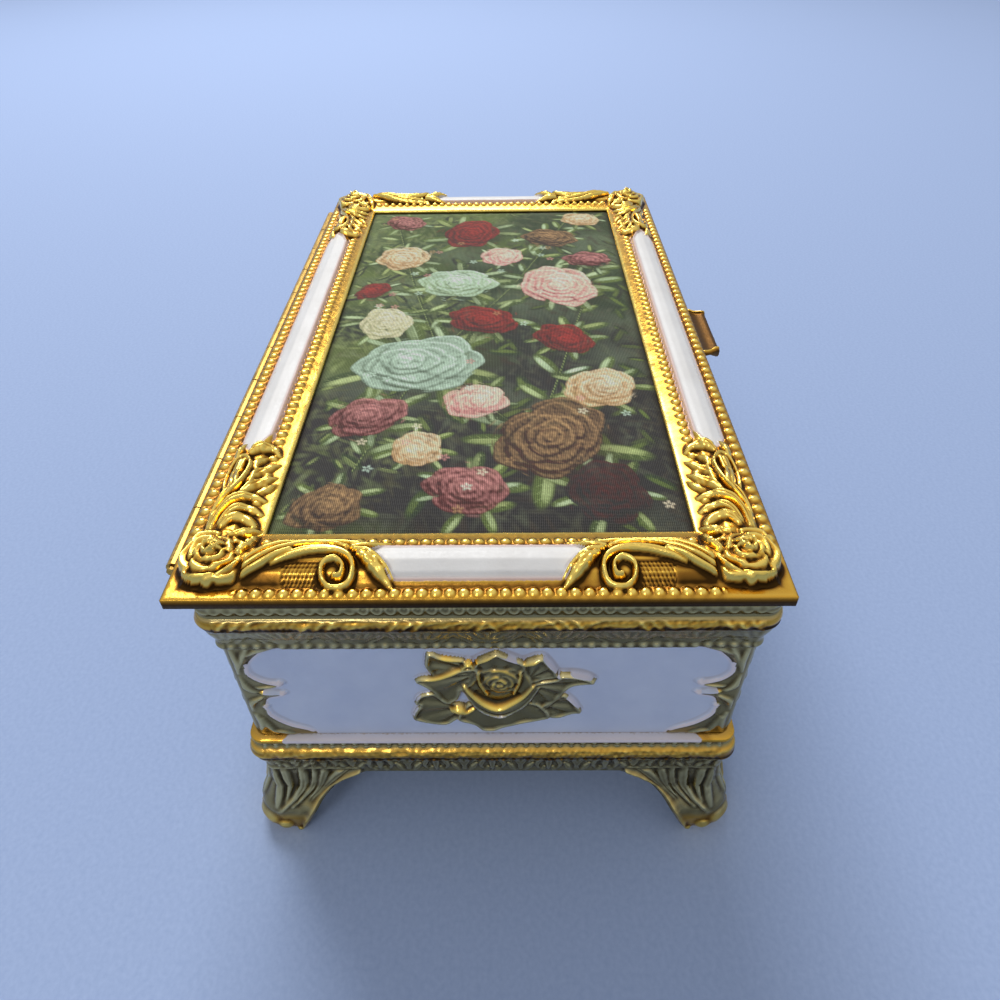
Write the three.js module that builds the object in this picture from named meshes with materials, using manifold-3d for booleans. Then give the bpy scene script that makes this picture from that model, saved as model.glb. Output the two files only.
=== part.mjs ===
// A musical jewel box: a gilt cast box on four bracket feet, a hinged lid that frames a fabric
// picture, a velvet tray, and under the tray a wind-up comb movement that the lid stops and starts.
// Millimetres, +Z up, +X along the length, the clasp at the front (-Y) and the hinge at the back (+Y).
// The origin is the bottom centre of the whole object.
import * as THREE from "three";
import { mergeVertices } from "three/addons/utils/BufferGeometryUtils.js";
import Module from "manifold-3d";

const wasm = await Module();
wasm.setup();

// Driving dimensions: the case
const bodyLength = 182.2; // outside of the walls
const bodyWidth = 102.6;
const wallThickness = 1.8;
const wallHeight = 30.5;
const wallCorner = 1.2; // corner radius of the walls in plan
const wallRoseRadius = 8.2;
const wallRoseHeight = 3.7;
const wallRoseSpread = 37; // across the leaves
const bracketReach = 12; // scrolled plates at the ends of each wall
const bracketHeight = 0.7;
const footHeight = 20;
const footReach = 5.2; // how far the toe stands out from the wall
const footSpread = 22; // how far a foot runs along the apron
const footSole = 5; // and along the floor
const baseHeight = 14.8; // apron, roll and ledge between the feet and the walls
const baseReach = 2.9;
const baseWall = 2;
const corniceHeight = 15.5;
const corniceReach = 2.8;
const bandReach = 2.2;
const corniceLeafPitch = 12.8; // the row of upright leaves under the cornice's roll
const corniceLeafHeight = 0.5;
const fringePitch = 12.8; // the row of hanging leaves on the apron
const fringeHeight = 0.7;
const footLobeHeight = 0.9;

// Driving dimensions: the lid
const lidReach = 3.8; // how far the lid stands out past the walls
const lidShift = 1.4; // the lid stands further out at the back than at the front
const lidGap = 0.3;
const rimThickness = 2.4;
const crestHeight = 3.4; // frame crest above the rim
const crestInset = 6.8;
const frameBorder = 15.2; // from the lid edge to the fabric
const pocketInset = 9; // from the lid edge to the pocket that holds the picture
const pocketRoof = 0.4; // pocket roof above the rim top
const roseInset = 8.3;
const roseRadius = 8.2;
const roseHeight = 5.8;
const leafHeight = 3;
const fabricThickness = 0.7;
const fabricCrown = 0.9;
const boardThickness = 1.1;
const liningThickness = 0.7;
const liningCrown = 1.9;

// Driving dimensions: hinge and clasp
const hingeInset = 9.5; // from an end of the lid to the hinge
const knuckleCount = 11;
const knuckleRadius = 1.3;
const hingePinRadius = 0.5;
const leafThickness = 0.45;
const leafDepth = 7.4; // from the pin to the free edge of a leaf
const hingeScrewCount = 3;
const claspWidth = 23.8;
const claspReach = 4.9;
const claspThickness = 1.1;
const claspDrop = 2; // how far the outer edge curls down

// Driving dimensions: tray and bottom
const coverThickness = 1.4;
const screwRadius = 0.9;
const coverScrewLength = 3.2;
const movementScrewLength = 2.6;
const combScrewLength = 3.8;
const bracketScrewLength = 2.4;
const smallScrewRadius = 0.75;
const flangeThickness = 2;
const flangeWidth = 5.5;
const trayWall = 2;
const trayFloor = 2;
const trayDepth = 31;
const dividerShare = 0.285; // how far along the right half the divider stands
const trayDividerDrop = 6; // the divider is this much lower than the rim
const ringRollCount = 6;
const ringRollHeight = 13;

// Driving dimensions: the movement
const springX = 12; // winding arbor, from the box centre
const springY = 19.6;
const bedThickness = 2;
const bedMargin = 6; // bedplate past the spring housing
const bedEdge = 1; // and past the governor
const bedFront = 26; // from the arbor to the front edge of the bedplate
const bedBack = 17; // and to its back edge
const earReach = 2.4; // bedplate round the stop rod
const housingRadius = 12.4;
const housingHeight = 7;
const housingWall = 0.9;
const mainspringTurns = 5;
const mainspringThickness = 0.5;
const arborRadius = 1.5;
const crownTeeth = 24;
const pinionTeeth = 8;
const crownPitch = 2.75; // tooth pitch of the drive gear and its pinion
const crownDisc = 1.2;
const crownToothHeight = 1.7;
const crownToothLength = 2.6;
const trainPitch = 1.85; // tooth pitch of the wheels after the cylinder
const cylinderWheelTeeth = 24;
const governorPinionTeeth = 8;
const wormWheelTeeth = 12;
const wheelWidth = 1.2;
const drumRadius = 6.6;
const pinHeight = 0.5;
const pinsPerNote = 2;
const noteCount = 18;
const notePitch = 1.1;
const combThickness = 0.9;
const combToothLength = 9;
const combRoot = 8; // solid part behind the tongues
const combGap = 0.2; // from the tips of the tongues to the pins
const combScrewSpacing = 12;
const shaftRadius = 1.2;
const thinShaftRadius = 0.7;
const bracketThickness = 1.4;
const bearingHalf = 3.4; // half the width of a bearing post
const footThickness = 1.35; // foot of a bracket
const footLength = 7;
const armThickness = 1.2; // arm over the worm
const shaftBoss = 2.2; // metal round a small bearing
const padWidth = 4.4; // where a bracket's screw goes
const wormCore = 0.9;
const wormOuter = 1.85;
const wormLength = 6;
const fanRadius = 4.6;
const fanHeight = 5.2;
const fanThickness = 0.4;
const stopRodRadius = 0.8;
const rodGap = 1.1; // from the rod to the fan
const collarReach = 0.9;
const fingerThickness = 1.3;
const stopTravel = 3.5;
const stopCoilTurns = 4;
const keyWidth = 17;
const keyHeight = 9;
const keyThickness = 1.5;
const keyFloorGap = 5; // from the floor to the lowest point of the key

// Clearances
const seat = 0.05; // between pieces that are fixed to each other
const runFit = 0.1; // between a shaft and its bearing
const fitGap = 0.3; // between pieces that are dropped in
const screwFit = 0.15; // between a screw and its hole

// Heights, from the floor up
const baseTop = footHeight + baseHeight;
const wallTop = baseTop + wallHeight;
const bodyTop = wallTop + corniceHeight;
const rimBottom = bodyTop + lidGap;
const rimTop = rimBottom + rimThickness;
const halfX = bodyLength / 2;
const halfY = bodyWidth / 2;
const lidHalfX = halfX + lidReach;
const lidHalfY = halfY + lidReach;
const hingeLength = 2 * (lidHalfX - hingeInset);
const trayDividerX = halfX * dividerShare;
const coverTop = footHeight + 0.6 + coverThickness;
const flangeTop = coverTop + seat + flangeThickness;
const bedTop = coverTop + seat + bedThickness;

// Geometry helpers: each takes and gives BufferGeometry in its final place
function toSolid(geometry) {
  const bare = geometry.clone();
  bare.deleteAttribute("normal");
  bare.deleteAttribute("uv");
  const merged = mergeVertices(bare, 1e-4);
  return new wasm.Manifold(
    new wasm.Mesh({
      numProp: 3,
      vertProperties: new Float32Array(merged.attributes.position.array),
      triVerts: new Uint32Array(merged.index.array),
    }),
  );
}

function toGeometry(solid) {
  const mesh = solid.getMesh();
  const geometry = new THREE.BufferGeometry();
  const positions = new Float32Array(mesh.vertProperties);
  geometry.setAttribute("position", new THREE.BufferAttribute(positions, 3));
  geometry.setIndex(new THREE.BufferAttribute(new Uint32Array(mesh.triVerts), 1));
  return geometry;
}

function join(...pieces) {
  return toGeometry(pieces.map(toSolid).reduce((a, b) => a.add(b)));
}

function cut(body, ...tools) {
  return toGeometry(tools.map(toSolid).reduce((a, b) => a.subtract(b), toSolid(body)));
}

function surface(positions, faces) {
  const geometry = new THREE.BufferGeometry();
  geometry.setAttribute("position", new THREE.Float32BufferAttribute(positions.flat(), 3));
  geometry.setIndex(faces.flat());
  return geometry;
}

function block(x0, x1, y0, y1, z0, z1) {
  const geometry = new THREE.BoxGeometry(x1 - x0, y1 - y0, z1 - z0);
  return geometry.translate((x0 + x1) / 2, (y0 + y1) / 2, (z0 + z1) / 2);
}

// A round bar on the Z axis from z0 to z1
function bar(radius, z0, z1, sides = 16) {
  const cylinder = new THREE.CylinderGeometry(radius, radius, z1 - z0, sides);
  return cylinder.rotateX(Math.PI / 2).translate(0, 0, (z0 + z1) / 2);
}

// The same bar along the X axis
function barX(radius, x0, x1, sides = 16) {
  const cylinder = new THREE.CylinderGeometry(radius, radius, x1 - x0, sides);
  return cylinder.rotateZ(Math.PI / 2).translate((x0 + x1) / 2, 0, 0);
}

function prism(points, z0, z1) {
  const shape = new THREE.Shape(points.map(([x, y]) => new THREE.Vector2(x, y)));
  return new THREE.ExtrudeGeometry(shape, { depth: z1 - z0, bevelEnabled: false }).translate(0, 0, z0);
}

// Plan outline of a rounded rectangle, counter-clockwise
function roundedRectangle(x, y, radius, steps) {
  const points = [];
  for (let corner = 0; corner < 4; corner++) {
    const signX = corner === 0 || corner === 3 ? 1 : -1;
    const signY = corner < 2 ? 1 : -1;
    for (let i = 0; i <= steps; i++) {
      const angle = (Math.PI / 2) * (corner + (steps ? i / steps : 0.5));
      const reach = steps ? radius : 0;
      const px = signX * (x - reach) + reach * Math.cos(angle);
      const py = signY * (y - reach) + reach * Math.sin(angle);
      points.push([px, py]);
    }
  }
  return points;
}

// The outline at each level of [outwards, up], as one list of points
function levelPoints(levels, x, y, radius, steps) {
  return levels.flatMap(([out, up]) => {
    const corner = Math.max(radius + out, 0.05);
    return roundedRectangle(x + out, y + out, corner, steps).map(([px, py]) => [px, py, up]);
  });
}

// A closed surface over rings of points that each hold the same count
function closedRings(positions, count) {
  const faces = [];
  const rings = positions.length / count;
  for (let i = 0; i < rings; i++) {
    for (let j = 0; j < count; j++) {
      const a = i * count + j;
      const b = i * count + ((j + 1) % count);
      const c = ((i + 1) % rings) * count + j;
      const d = ((i + 1) % rings) * count + ((j + 1) % count);
      faces.push([a, b, c], [b, d, c]);
    }
  }
  return surface(positions, faces);
}

// A moulding that runs round a rectangle: profile is a closed, counter-clockwise list of [outwards, up]
function moulding(profile, x, y, radius, steps) {
  return closedRings(levelPoints(profile, x, y, radius, steps), 4 * (steps + 1));
}

// Turns a point of side 0, the front, given as [along, outwards from the centre, up], to another side
function turnToSide([along, outwards, up], side) {
  const angle = (side * Math.PI) / 2;
  const px = along * Math.cos(angle) + outwards * Math.sin(angle);
  const py = along * Math.sin(angle) - outwards * Math.cos(angle);
  return [px, py, up];
}

// A row of leaves round the case: levels are [outwards, up, share of the leaves' height]
function leafRow(levels, pitch, height) {
  const positions = levels.flatMap(([out, up, share]) => {
    const ring = [];
    for (let side = 0; side < 4; side++) {
      const [half, distance] = side % 2 ? [halfY, halfX] : [halfX, halfY];
      ring.push(turnToSide([-half - out, distance + out, up], side));
      const last = 2 * Math.floor((half - wallCorner) / pitch) + 1;
      for (let i = -last; i <= last; i++) {
        const swell = i % 2 ? 0 : share * height;
        if (Math.abs(i) * (pitch / 2) < half - wallCorner) {
          ring.push(turnToSide([i * (pitch / 2), distance + out + swell, up], side));
        }
      }
    }
    return ring;
  });
  return closedRings(positions, positions.length / levels.length);
}

// A plate with rounded-rectangle levels, from the bottom level to the top level
function stack(levels, x, y, radius, steps) {
  const positions = levelPoints(levels, x, y, radius, steps);
  const faces = [];
  const count = 4 * (steps + 1);
  for (let i = 0; i + 1 < levels.length; i++) {
    for (let j = 0; j < count; j++) {
      const a = i * count + j;
      const b = i * count + ((j + 1) % count);
      faces.push([a, b, a + count], [b, b + count, a + count]);
    }
  }
  const last = (levels.length - 1) * count;
  for (let j = 1; j + 1 < count; j++) {
    faces.push([0, j + 1, j], [last, last + j, last + j + 1]);
  }
  return surface(positions, faces);
}

// A raised round form: height(share of radius, angle) over a flat base, its top at +Z
function relief(radius, rings, spokes, height, skirt) {
  const positions = [[0, 0, height(0, 0)]];
  const faces = [];
  for (let i = 1; i <= rings; i++) {
    for (let j = 0; j < spokes; j++) {
      const angle = (2 * Math.PI * j) / spokes;
      const share = i / rings;
      const edge = radius(angle) * share;
      positions.push([edge * Math.cos(angle), edge * Math.sin(angle), height(share, angle)]);
    }
  }
  for (let j = 0; j < spokes; j++) {
    const angle = (2 * Math.PI * j) / spokes;
    positions.push([radius(angle) * Math.cos(angle), radius(angle) * Math.sin(angle), -skirt]);
  }
  positions.push([0, 0, -skirt]);
  for (let j = 0; j < spokes; j++) {
    const next = (j + 1) % spokes;
    faces.push([0, 1 + j, 1 + next]);
    for (let i = 0; i < rings; i++) {
      const a = 1 + i * spokes;
      faces.push([a + j, a + spokes + j, a + next], [a + next, a + spokes + j, a + spokes + next]);
    }
    faces.push([1 + rings * spokes + j, positions.length - 1, 1 + rings * spokes + next]);
  }
  return surface(positions, faces);
}

// An open rose of petals that climb in steps to a turned-in heart
function rose(radius, height, skirt) {
  const lobes = (angle) => radius * (0.93 + 0.07 * Math.cos(5 * angle));
  const climb = (share, angle) => {
    const swirl = 0.06 * Math.sin(5 * angle + 9 * share);
    const dome = Math.pow(Math.cos((Math.PI / 2) * Math.min(share, 0.97)), 0.75);
    return height * Math.max(0.12, dome + swirl * share);
  };
  return relief(lobes, 4, 15, climb, skirt);
}

// A pointed leaf along +X from its stem at the origin, with a raised rib
function leaf(length, width, height, skirt) {
  const half = width / 2;
  const outline = [
    [0, 0],
    [length * 0.25, -half],
    [length * 0.6, -half * 0.9],
    [length, 0],
    [length * 0.6, half * 0.9],
    [length * 0.25, half],
  ];
  const positions = outline.map(([x, y]) => [x, y, height * 0.35]);
  outline.forEach(([x, y]) => positions.push([x, y, -skirt]));
  positions.push([length * 0.3, 0, height], [length * 0.65, 0, height * 0.9]);
  const faces = [[0, 1, 12], [1, 2, 12], [2, 13, 12], [2, 3, 13]];
  faces.push([3, 4, 13], [4, 12, 13], [4, 5, 12], [5, 0, 12]);
  for (let i = 0; i < 6; i++) {
    const next = (i + 1) % 6;
    faces.push([i, i + 6, next], [next, i + 6, next + 6]);
  }
  faces.push([6, 11, 7], [7, 11, 10], [7, 10, 8], [8, 10, 9]);
  return surface(positions, faces);
}

// A low round boss such as the eye of a scroll
function scrollEye(radius, height, skirt) {
  return relief(() => radius, 2, 8, (share) => height * (1 - 0.6 * share * share), skirt);
}

// The case: walls with the cornice, and the base moulding with its feet
function corniceProfile() {
  const z = (share) => wallTop + corniceHeight * share;
  return [
    [0, baseTop + seat],
    [0, wallTop],
    [corniceReach * 0.3, z(0.06)],
    [corniceReach * 0.2, z(0.14)],
    [corniceReach * 0.5, z(0.34)],
    [corniceReach * 0.92, z(0.56)],
    [corniceReach, z(0.66)],
    [corniceReach * 0.92, z(0.75)],
    [bandReach, z(0.79)],
    [bandReach, bodyTop],
    [-wallThickness, bodyTop],
    [-wallThickness, baseTop + seat],
  ];
}

// An open rose with leaves round it, wider than it is high
function wallRose() {
  const skirt = 1;
  const pieces = [rose(wallRoseRadius, wallRoseHeight, skirt)];
  const leafAngles = [8, 55, 125, 165, 200, 235, 305, 340];
  leafAngles.forEach((degrees) => {
    const angle = (degrees * Math.PI) / 180;
    const stem = wallRoseRadius * 0.6;
    const reachX = (wallRoseSpread / 2) * Math.cos(angle);
    const reachY = (wallHeight / 2 - 1.6) * Math.sin(angle);
    const blade = leaf(Math.hypot(reachX, reachY) - stem, 6.5, wallRoseHeight * 0.4, skirt);
    pieces.push(blade.translate(stem, 0, 0).rotateZ(Math.atan2(reachY, reachX)));
  });
  return join(...pieces);
}

// Raised scrolled plates at the two ends of a wall, in the plane of the wall
function wallBracket() {
  const edge = [];
  const waist = bracketReach * 0.28;
  const half = wallHeight / 2;
  for (let i = 0; i <= 12; i++) {
    const t = i / 12;
    const sweep = (bracketReach - waist) * Math.pow(Math.abs(2 * t - 1), 2.2);
    const tongue = bracketReach * 0.38 * Math.exp(-Math.pow((t - 0.52) * 9, 2));
    edge.push([waist + sweep + tongue, half * (2 * t - 1)]);
  }
  return prism([[0, -half], ...edge, [0, half]], -1, bracketHeight);
}

// Puts a piece made flat, facing +Z, on a wall: side 0 front, 1 right, 2 back, 3 left
function onWall(geometry, side, along) {
  const turned = geometry.translate(along, 0, 0).rotateX(Math.PI / 2);
  const distance = side % 2 ? halfX : halfY;
  return turned.translate(0, -distance, (baseTop + wallTop) / 2).rotateZ((side * Math.PI) / 2);
}

// Upright leaves in the hollow of the cornice
function corniceLeaves() {
  const z = (share) => wallTop + corniceHeight * share;
  const levels = [
    [corniceReach * 0.18, z(0.14), 0],
    [corniceReach * 0.58, z(0.36), 1],
    [corniceReach * 0.84, z(0.53), 0],
    [-0.5, z(0.53), 0],
    [-0.5, z(0.14), 0],
  ];
  return leafRow(levels, corniceLeafPitch, corniceLeafHeight);
}

function makeBodyShell() {
  const pieces = [moulding(corniceProfile(), halfX, halfY, wallCorner, 2), corniceLeaves()];
  for (let side = 0; side < 4; side++) {
    const reach = side % 2 ? halfY : halfX;
    pieces.push(onWall(wallRose(), side, 0));
    pieces.push(onWall(wallBracket(), side, -reach));
    pieces.push(onWall(wallBracket().rotateZ(Math.PI), side, reach));
  }
  return cut(join(...pieces), hingeRebate(), ...hingeBodyHoles());
}

function baseProfile() {
  const z = (share) => footHeight + baseHeight * share;
  return [
    [footReach * 0.85, 0],
    [footReach, footHeight * 0.12],
    [footReach, footHeight * 0.42],
    [footReach * 0.85, footHeight * 0.52],
    [footReach * 0.34, footHeight * 0.6],
    [footReach * 0.12, footHeight * 0.75],
    [baseReach * 0.28, footHeight],
    [baseReach * 0.3, z(0.35)],
    [baseReach * 0.7, z(0.52)],
    [baseReach, z(0.64)],
    [baseReach, z(0.76)],
    [baseReach * 0.5, z(0.84)],
    [baseReach * 0.45, z(0.9)],
    [baseReach * 0.68, z(0.95)],
    [baseReach * 0.6, z(1)],
    [-baseWall, z(1)],
    [-baseWall, flangeTop],
    [-baseWall - flangeWidth, flangeTop],
    [-baseWall - flangeWidth, coverTop + seat],
    [-baseWall, coverTop + seat],
    [-baseWall * 0.8, footHeight * 0.4],
    [-baseWall * 0.4, 0],
  ];
}

// The arch between two feet, drawn across a side and run through the whole base
function footArch(half, through) {
  const right = [];
  for (let i = 0; i <= 8; i++) {
    const share = i / 8;
    const run = footSole + (footSpread - footSole) * (0.55 * share + 0.45 * Math.pow(share, 4));
    right.push([half - Math.min(run, half * 0.6), footHeight * share]);
  }
  const left = right.map(([x, z]) => [-x, z]).reverse();
  const outline = [[right[0][0], -1], ...right, ...left, [left[left.length - 1][0], -1]];
  return prism(outline, -through, through).rotateX(Math.PI / 2);
}

// Hanging leaves on the apron
function apronFringe() {
  const z = (share) => footHeight + baseHeight * share;
  const levels = [
    [baseReach * 0.26, z(0.08), 0],
    [baseReach * 0.42, z(0.32), 1],
    [baseReach * 0.68, z(0.53), 0],
    [-0.5, z(0.53), 0],
    [-0.5, z(0.08), 0],
  ];
  return leafRow(levels, fringePitch, fringeHeight);
}

// How far the outside of the base stands out at a height
function baseReachAt(up) {
  const outer = baseProfile();
  const above = outer.findIndex(([, z]) => z >= up);
  const [[out0, z0], [out1, z1]] = [outer[above - 1], outer[above]];
  return out0 + ((out1 - out0) * (up - z0)) / (z1 - z0);
}

// One acanthus lobe of a foot, a ridge through points of [distance from the corner, up, half width, share]
function footLobe(points, side, end) {
  const [half, distance] = side % 2 ? [halfY, halfX] : [halfX, halfY];
  const positions = points.flatMap(([fromCorner, up, width, share]) => {
    const face = distance + baseReachAt(up);
    const section = [[-width, -0.2], [0, -1], [width, -0.2], [0, share * footLobeHeight]];
    return section.map(([across, rise]) => {
      return turnToSide([end * (half - fromCorner - across), face + rise, up], side);
    });
  });
  const faces = [[0, 1, 2], [0, 2, 3]];
  for (let i = 0; i + 1 < points.length; i++) {
    for (let j = 0; j < 4; j++) {
      const a = 4 * i + j;
      const b = 4 * i + ((j + 1) % 4);
      faces.push([a, a + 4, b], [b, a + 4, b + 4]);
    }
  }
  const last = 4 * (points.length - 1);
  faces.push([last, last + 2, last + 1], [last, last + 3, last + 2]);
  return surface(positions, end > 0 ? faces : faces.map(([a, b, c]) => [a, c, b]));
}

function footLobes() {
  const top = footHeight * 1.02;
  const lobes = [
    [[3, top, 1.3, 1], [2.2, footHeight * 0.7, 1.3, 1]],
    [[7.6, top, 1.4, 1], [5, footHeight * 0.7, 1.5, 1]],
    [[12.2, top, 1.4, 1], [8.4, footHeight * 0.76, 1.4, 1]],
  ];
  return [0, 1, 2, 3].flatMap((side) => [-1, 1].flatMap((end) => lobes.map((at) => footLobe(at, side, end))));
}

function makeBaseFrame() {
  const plain = moulding(baseProfile(), halfX, halfY, wallCorner, 2);
  const ring = join(plain, apronFringe(), ...footLobes());
  const alongX = footArch(halfX, halfY + 2 * footReach);
  const alongY = footArch(halfY, halfX + 2 * footReach).rotateZ(Math.PI / 2);
  const holes = coverScrewPlaces().map(([x, y]) => hole(screwRadius, x, y, coverTop, flangeTop + 1));
  return cut(ring, alongX, alongY, ...holes);
}

// Bottom cover and its screws
function coverScrewPlaces() {
  const inset = baseWall + flangeWidth * 0.55;
  const x = halfX - inset;
  const y = halfY - inset;
  return [[x, y], [-x, y], [-x, -y], [x, -y]];
}

function makeBottomCover() {
  const inset = baseWall + fitGap;
  const levels = [[-inset, coverTop - coverThickness], [-inset, coverTop]];
  const plate = stack(levels, halfX, halfY, wallCorner + 3, 2);
  const screws = [...coverScrewPlaces(), ...movementScrewPlaces()];
  const holes = screws.map(([x, y]) => hole(screwRadius, x, y, 0, coverTop + 1));
  holes.push(bar(arborRadius + 1.2, 0, coverTop + 1, 16).translate(springX, springY, 0));
  return cut(plate, ...holes);
}

// A hole for a screw of the given radius
function hole(radius, x, y, z0, z1) {
  return bar(radius + screwFit, z0, z1, 8).translate(x, y, 0);
}

// A screw that points up, its head under the surface at z
function screwUp(radius, headRadius, headHeight, z, length) {
  const head = bar(headRadius, z - headHeight, z, 8);
  const half = headRadius * 0.14;
  const past = headRadius + 1;
  const slot = block(-past, past, -half, half, z - headHeight - 1, z - headHeight * 0.5);
  return cut(join(head, bar(radius, z - 0.1, z + length, 6)), slot);
}

// A screw that points down, its head on the surface at z
function screwDown(radius, headRadius, headHeight, z, length) {
  return screwUp(radius, headRadius, headHeight, -z, length).rotateX(Math.PI);
}

// The hinge
const hingeY = lidShift + lidHalfY + knuckleRadius + 2 * seat;
const hingeZ = rimBottom + 0.3;
const lidLeafTop = rimBottom - seat;
const lidLeafBottom = lidLeafTop - leafThickness;
const bodyLeafTop = lidLeafBottom - 0.2;
const bodyLeafBottom = bodyLeafTop - leafThickness;
const knuckleLength = hingeLength / knuckleCount;
const hingeScrewRadius = 0.8;
const hingeHeadRadius = 1.3;
const hingeHeadHeight = 0.35;
const lidScrewLength = 2.2;
const bodyScrewLength = 3.5;
const lidScrewY = hingeY - knuckleRadius - hingeHeadRadius - 0.4;
const bodyScrewY = halfY + 0.2;

function knuckleSpan(i) {
  const x0 = -hingeLength / 2 + i * knuckleLength;
  return [x0 + 0.15, x0 + knuckleLength - 0.15];
}

// Lid screws go through lid knuckles' stretches, body screws through body knuckles' stretches
function hingeScrewX(i, first) {
  const step = 2 * Math.floor((knuckleCount - 3) / (2 * (hingeScrewCount - 1)));
  const index = first + step * i;
  return -hingeLength / 2 + (index + 0.5) * knuckleLength;
}

const lidScrewXs = [...Array(hingeScrewCount).keys()].map((i) => hingeScrewX(i, 1));
const bodyScrewXs = [...Array(hingeScrewCount).keys()].map((i) => hingeScrewX(i, 2));

function hingeRebate() {
  const span = hingeLength / 2 + 0.5;
  const inside = halfY - wallThickness - 1;
  return block(-span, span, inside, hingeY + 2, bodyLeafBottom - seat, bodyTop + 1);
}

function hingeBodyHoles() {
  return bodyScrewXs.map((x) => hole(hingeScrewRadius, x, bodyScrewY, bodyLeafBottom - 4, bodyTop));
}

function knuckle(i) {
  const [x0, x1] = knuckleSpan(i);
  return barX(knuckleRadius, x0, x1, 12).translate(0, hingeY, hingeZ);
}

// A leaf runs under its own knuckles and is cut back from the others
function makeHingeLeaf(first, z0, z1, backEdge, bridgeY, holes) {
  const span = hingeLength / 2;
  const pieces = [block(-span + 0.15, span - 0.15, hingeY - leafDepth, backEdge, z0, z1)];
  for (let i = first; i < knuckleCount; i += 2) {
    const [x0, x1] = knuckleSpan(i);
    pieces.push(knuckle(i), block(x0, x1, backEdge - 0.5, bridgeY, z0, z1));
  }
  const bore = barX(hingePinRadius + runFit, -span - 1, span + 1, 8).translate(0, hingeY, hingeZ);
  return cut(join(...pieces), bore, ...holes);
}

function makeLidLeaf() {
  const [z0, z1] = [lidLeafBottom, lidLeafTop];
  const own = lidScrewXs.map((x) => hole(hingeScrewRadius, x, lidScrewY, z0 - 1, z1 + 1));
  const heads = bodyScrewXs.map((x) => hole(hingeHeadRadius + 0.1, x, bodyScrewY, z0 - 1, z1 + 1));
  const backEdge = hingeY - knuckleRadius - 0.15;
  return makeHingeLeaf(1, z0, z1, backEdge, hingeY - knuckleRadius * 0.7, [...own, ...heads]);
}

function makeBodyLeaf() {
  const [z0, z1] = [bodyLeafBottom, bodyLeafTop];
  const holes = bodyScrewXs.map((x) => hole(hingeScrewRadius, x, bodyScrewY, z0 - 1, z1 + 1));
  return makeHingeLeaf(0, z0, z1, lidScrewY - hingeHeadRadius - 0.2, hingeY, holes);
}

function makeHingePin() {
  const end = hingeLength / 2 + 0.9;
  const pin = barX(hingePinRadius, -end + 0.3, end - 0.3, 8);
  const headRadius = hingePinRadius * 1.8;
  const heads = [barX(headRadius, -end, -end + 0.7, 8), barX(headRadius, end - 0.7, end, 8)];
  return join(pin, ...heads).translate(0, hingeY, hingeZ);
}

// The lid
function frameProfile() {
  const crest = rimTop + crestHeight;
  return [
    [0, rimBottom],
    [0, rimTop],
    [-0.7, rimTop + 0.1],
    [-1, rimTop + 0.7],
    [-2, rimTop + 0.7],
    [-2.5, rimTop + 0.3],
    [-(2.5 + crestInset) / 2, rimTop + crestHeight * 0.68],
    [-crestInset, crest],
    [-(crestInset + 3), crest - 0.5],
    [-(crestInset + 3.8), crest - 1.1],
    [-(crestInset + 4.2), crest - 0.6],
    [-(crestInset + 5.4), crest - 0.7],
    [-(crestInset + 5.9), crest - 1.3],
    [-frameBorder, rimTop + pocketRoof + 0.9],
    [-frameBorder, rimTop + pocketRoof],
    [-pocketInset, rimTop + pocketRoof],
    [-pocketInset, rimBottom],
  ];
}

// Rose, scrolls and leaves of one corner, drawn for the corner at +X +Y, pointing inwards along both sides
function cornerOrnament() {
  const skirt = 3.2;
  const base = rimTop + 1.6;
  const x = lidHalfX - roseInset;
  const y = lidHalfY - roseInset;
  const pieces = [rose(roseRadius, roseHeight - 1.6, skirt).translate(x, y, base)];
  // Each leaf: where its stem is from the rose, which way it points, its length and its width
  const leaves = [
    [-3, 1, 165, 14, 6],
    [-3, -1, 195, 14, 6],
    [-1, -3, 255, 13, 6],
    [1, -3, 285, 13, 6],
    [-12, 1.2, 166, 15, 6.5],
    [-13, -0.5, 197, 13, 5.5],
    [-23, -1, 188, 9, 5],
    [0.8, -9, 284, 13, 6],
    [0, -20, 258, 8, 5],
  ];
  leaves.forEach(([stemX, stemY, degrees, length, width]) => {
    const blade = leaf(length, width, leafHeight, skirt).rotateZ((degrees * Math.PI) / 180);
    pieces.push(blade.translate(x + stemX, y + stemY, base));
  });
  pieces.push(scrollEye(3, leafHeight, skirt).translate(x - 24, y + 2, base));
  pieces.push(scrollEye(3.4, leafHeight, skirt).translate(x + 1.6, y - 21.5, base));
  return join(...pieces);
}

function makeLidFrame() {
  const frame = moulding(frameProfile(), lidHalfX, lidHalfY, 0, 0);
  const ornament = toSolid(cornerOrnament());
  const pieces = [toSolid(frame)];
  [[1, 1], [-1, 1], [-1, -1], [1, -1]].forEach(([sx, sy]) => {
    const mirrored = toGeometry(ornament).scale(sx, sy, 1);
    if (sx * sy < 0) {
      mirrored.setIndex([...mirrored.index.array].reverse());
    }
    pieces.push(toSolid(mirrored));
  });
  const whole = toGeometry(pieces.reduce((a, b) => a.add(b)));
  // Nothing of the leaves shows under the pocket roof or over the fabric
  const pocketX = lidHalfX - pocketInset;
  const pocketY = lidHalfY - pocketInset;
  const windowX = lidHalfX - frameBorder;
  const windowY = lidHalfY - frameBorder;
  const pocket = block(-pocketX, pocketX, -pocketY, pocketY, rimBottom - 1, rimTop + pocketRoof);
  const window = block(-windowX, windowX, -windowY, windowY, rimBottom - 1, rimTop + 20);
  const placed = cut(whole, pocket, window).translate(0, lidShift, 0);
  const low = rimBottom - 1;
  const rivetTop = rimBottom + rivetLength + seat;
  const screwHoles = lidScrewXs.map((x) => hole(hingeScrewRadius, x, lidScrewY, low, rimBottom + 2));
  const rivetHoles = claspRivetPlaces().map(([x, y]) => hole(rivetRadius, x, y, low, rivetTop));
  return cut(placed, ...screwHoles, ...rivetHoles, claspSeat());
}

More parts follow.
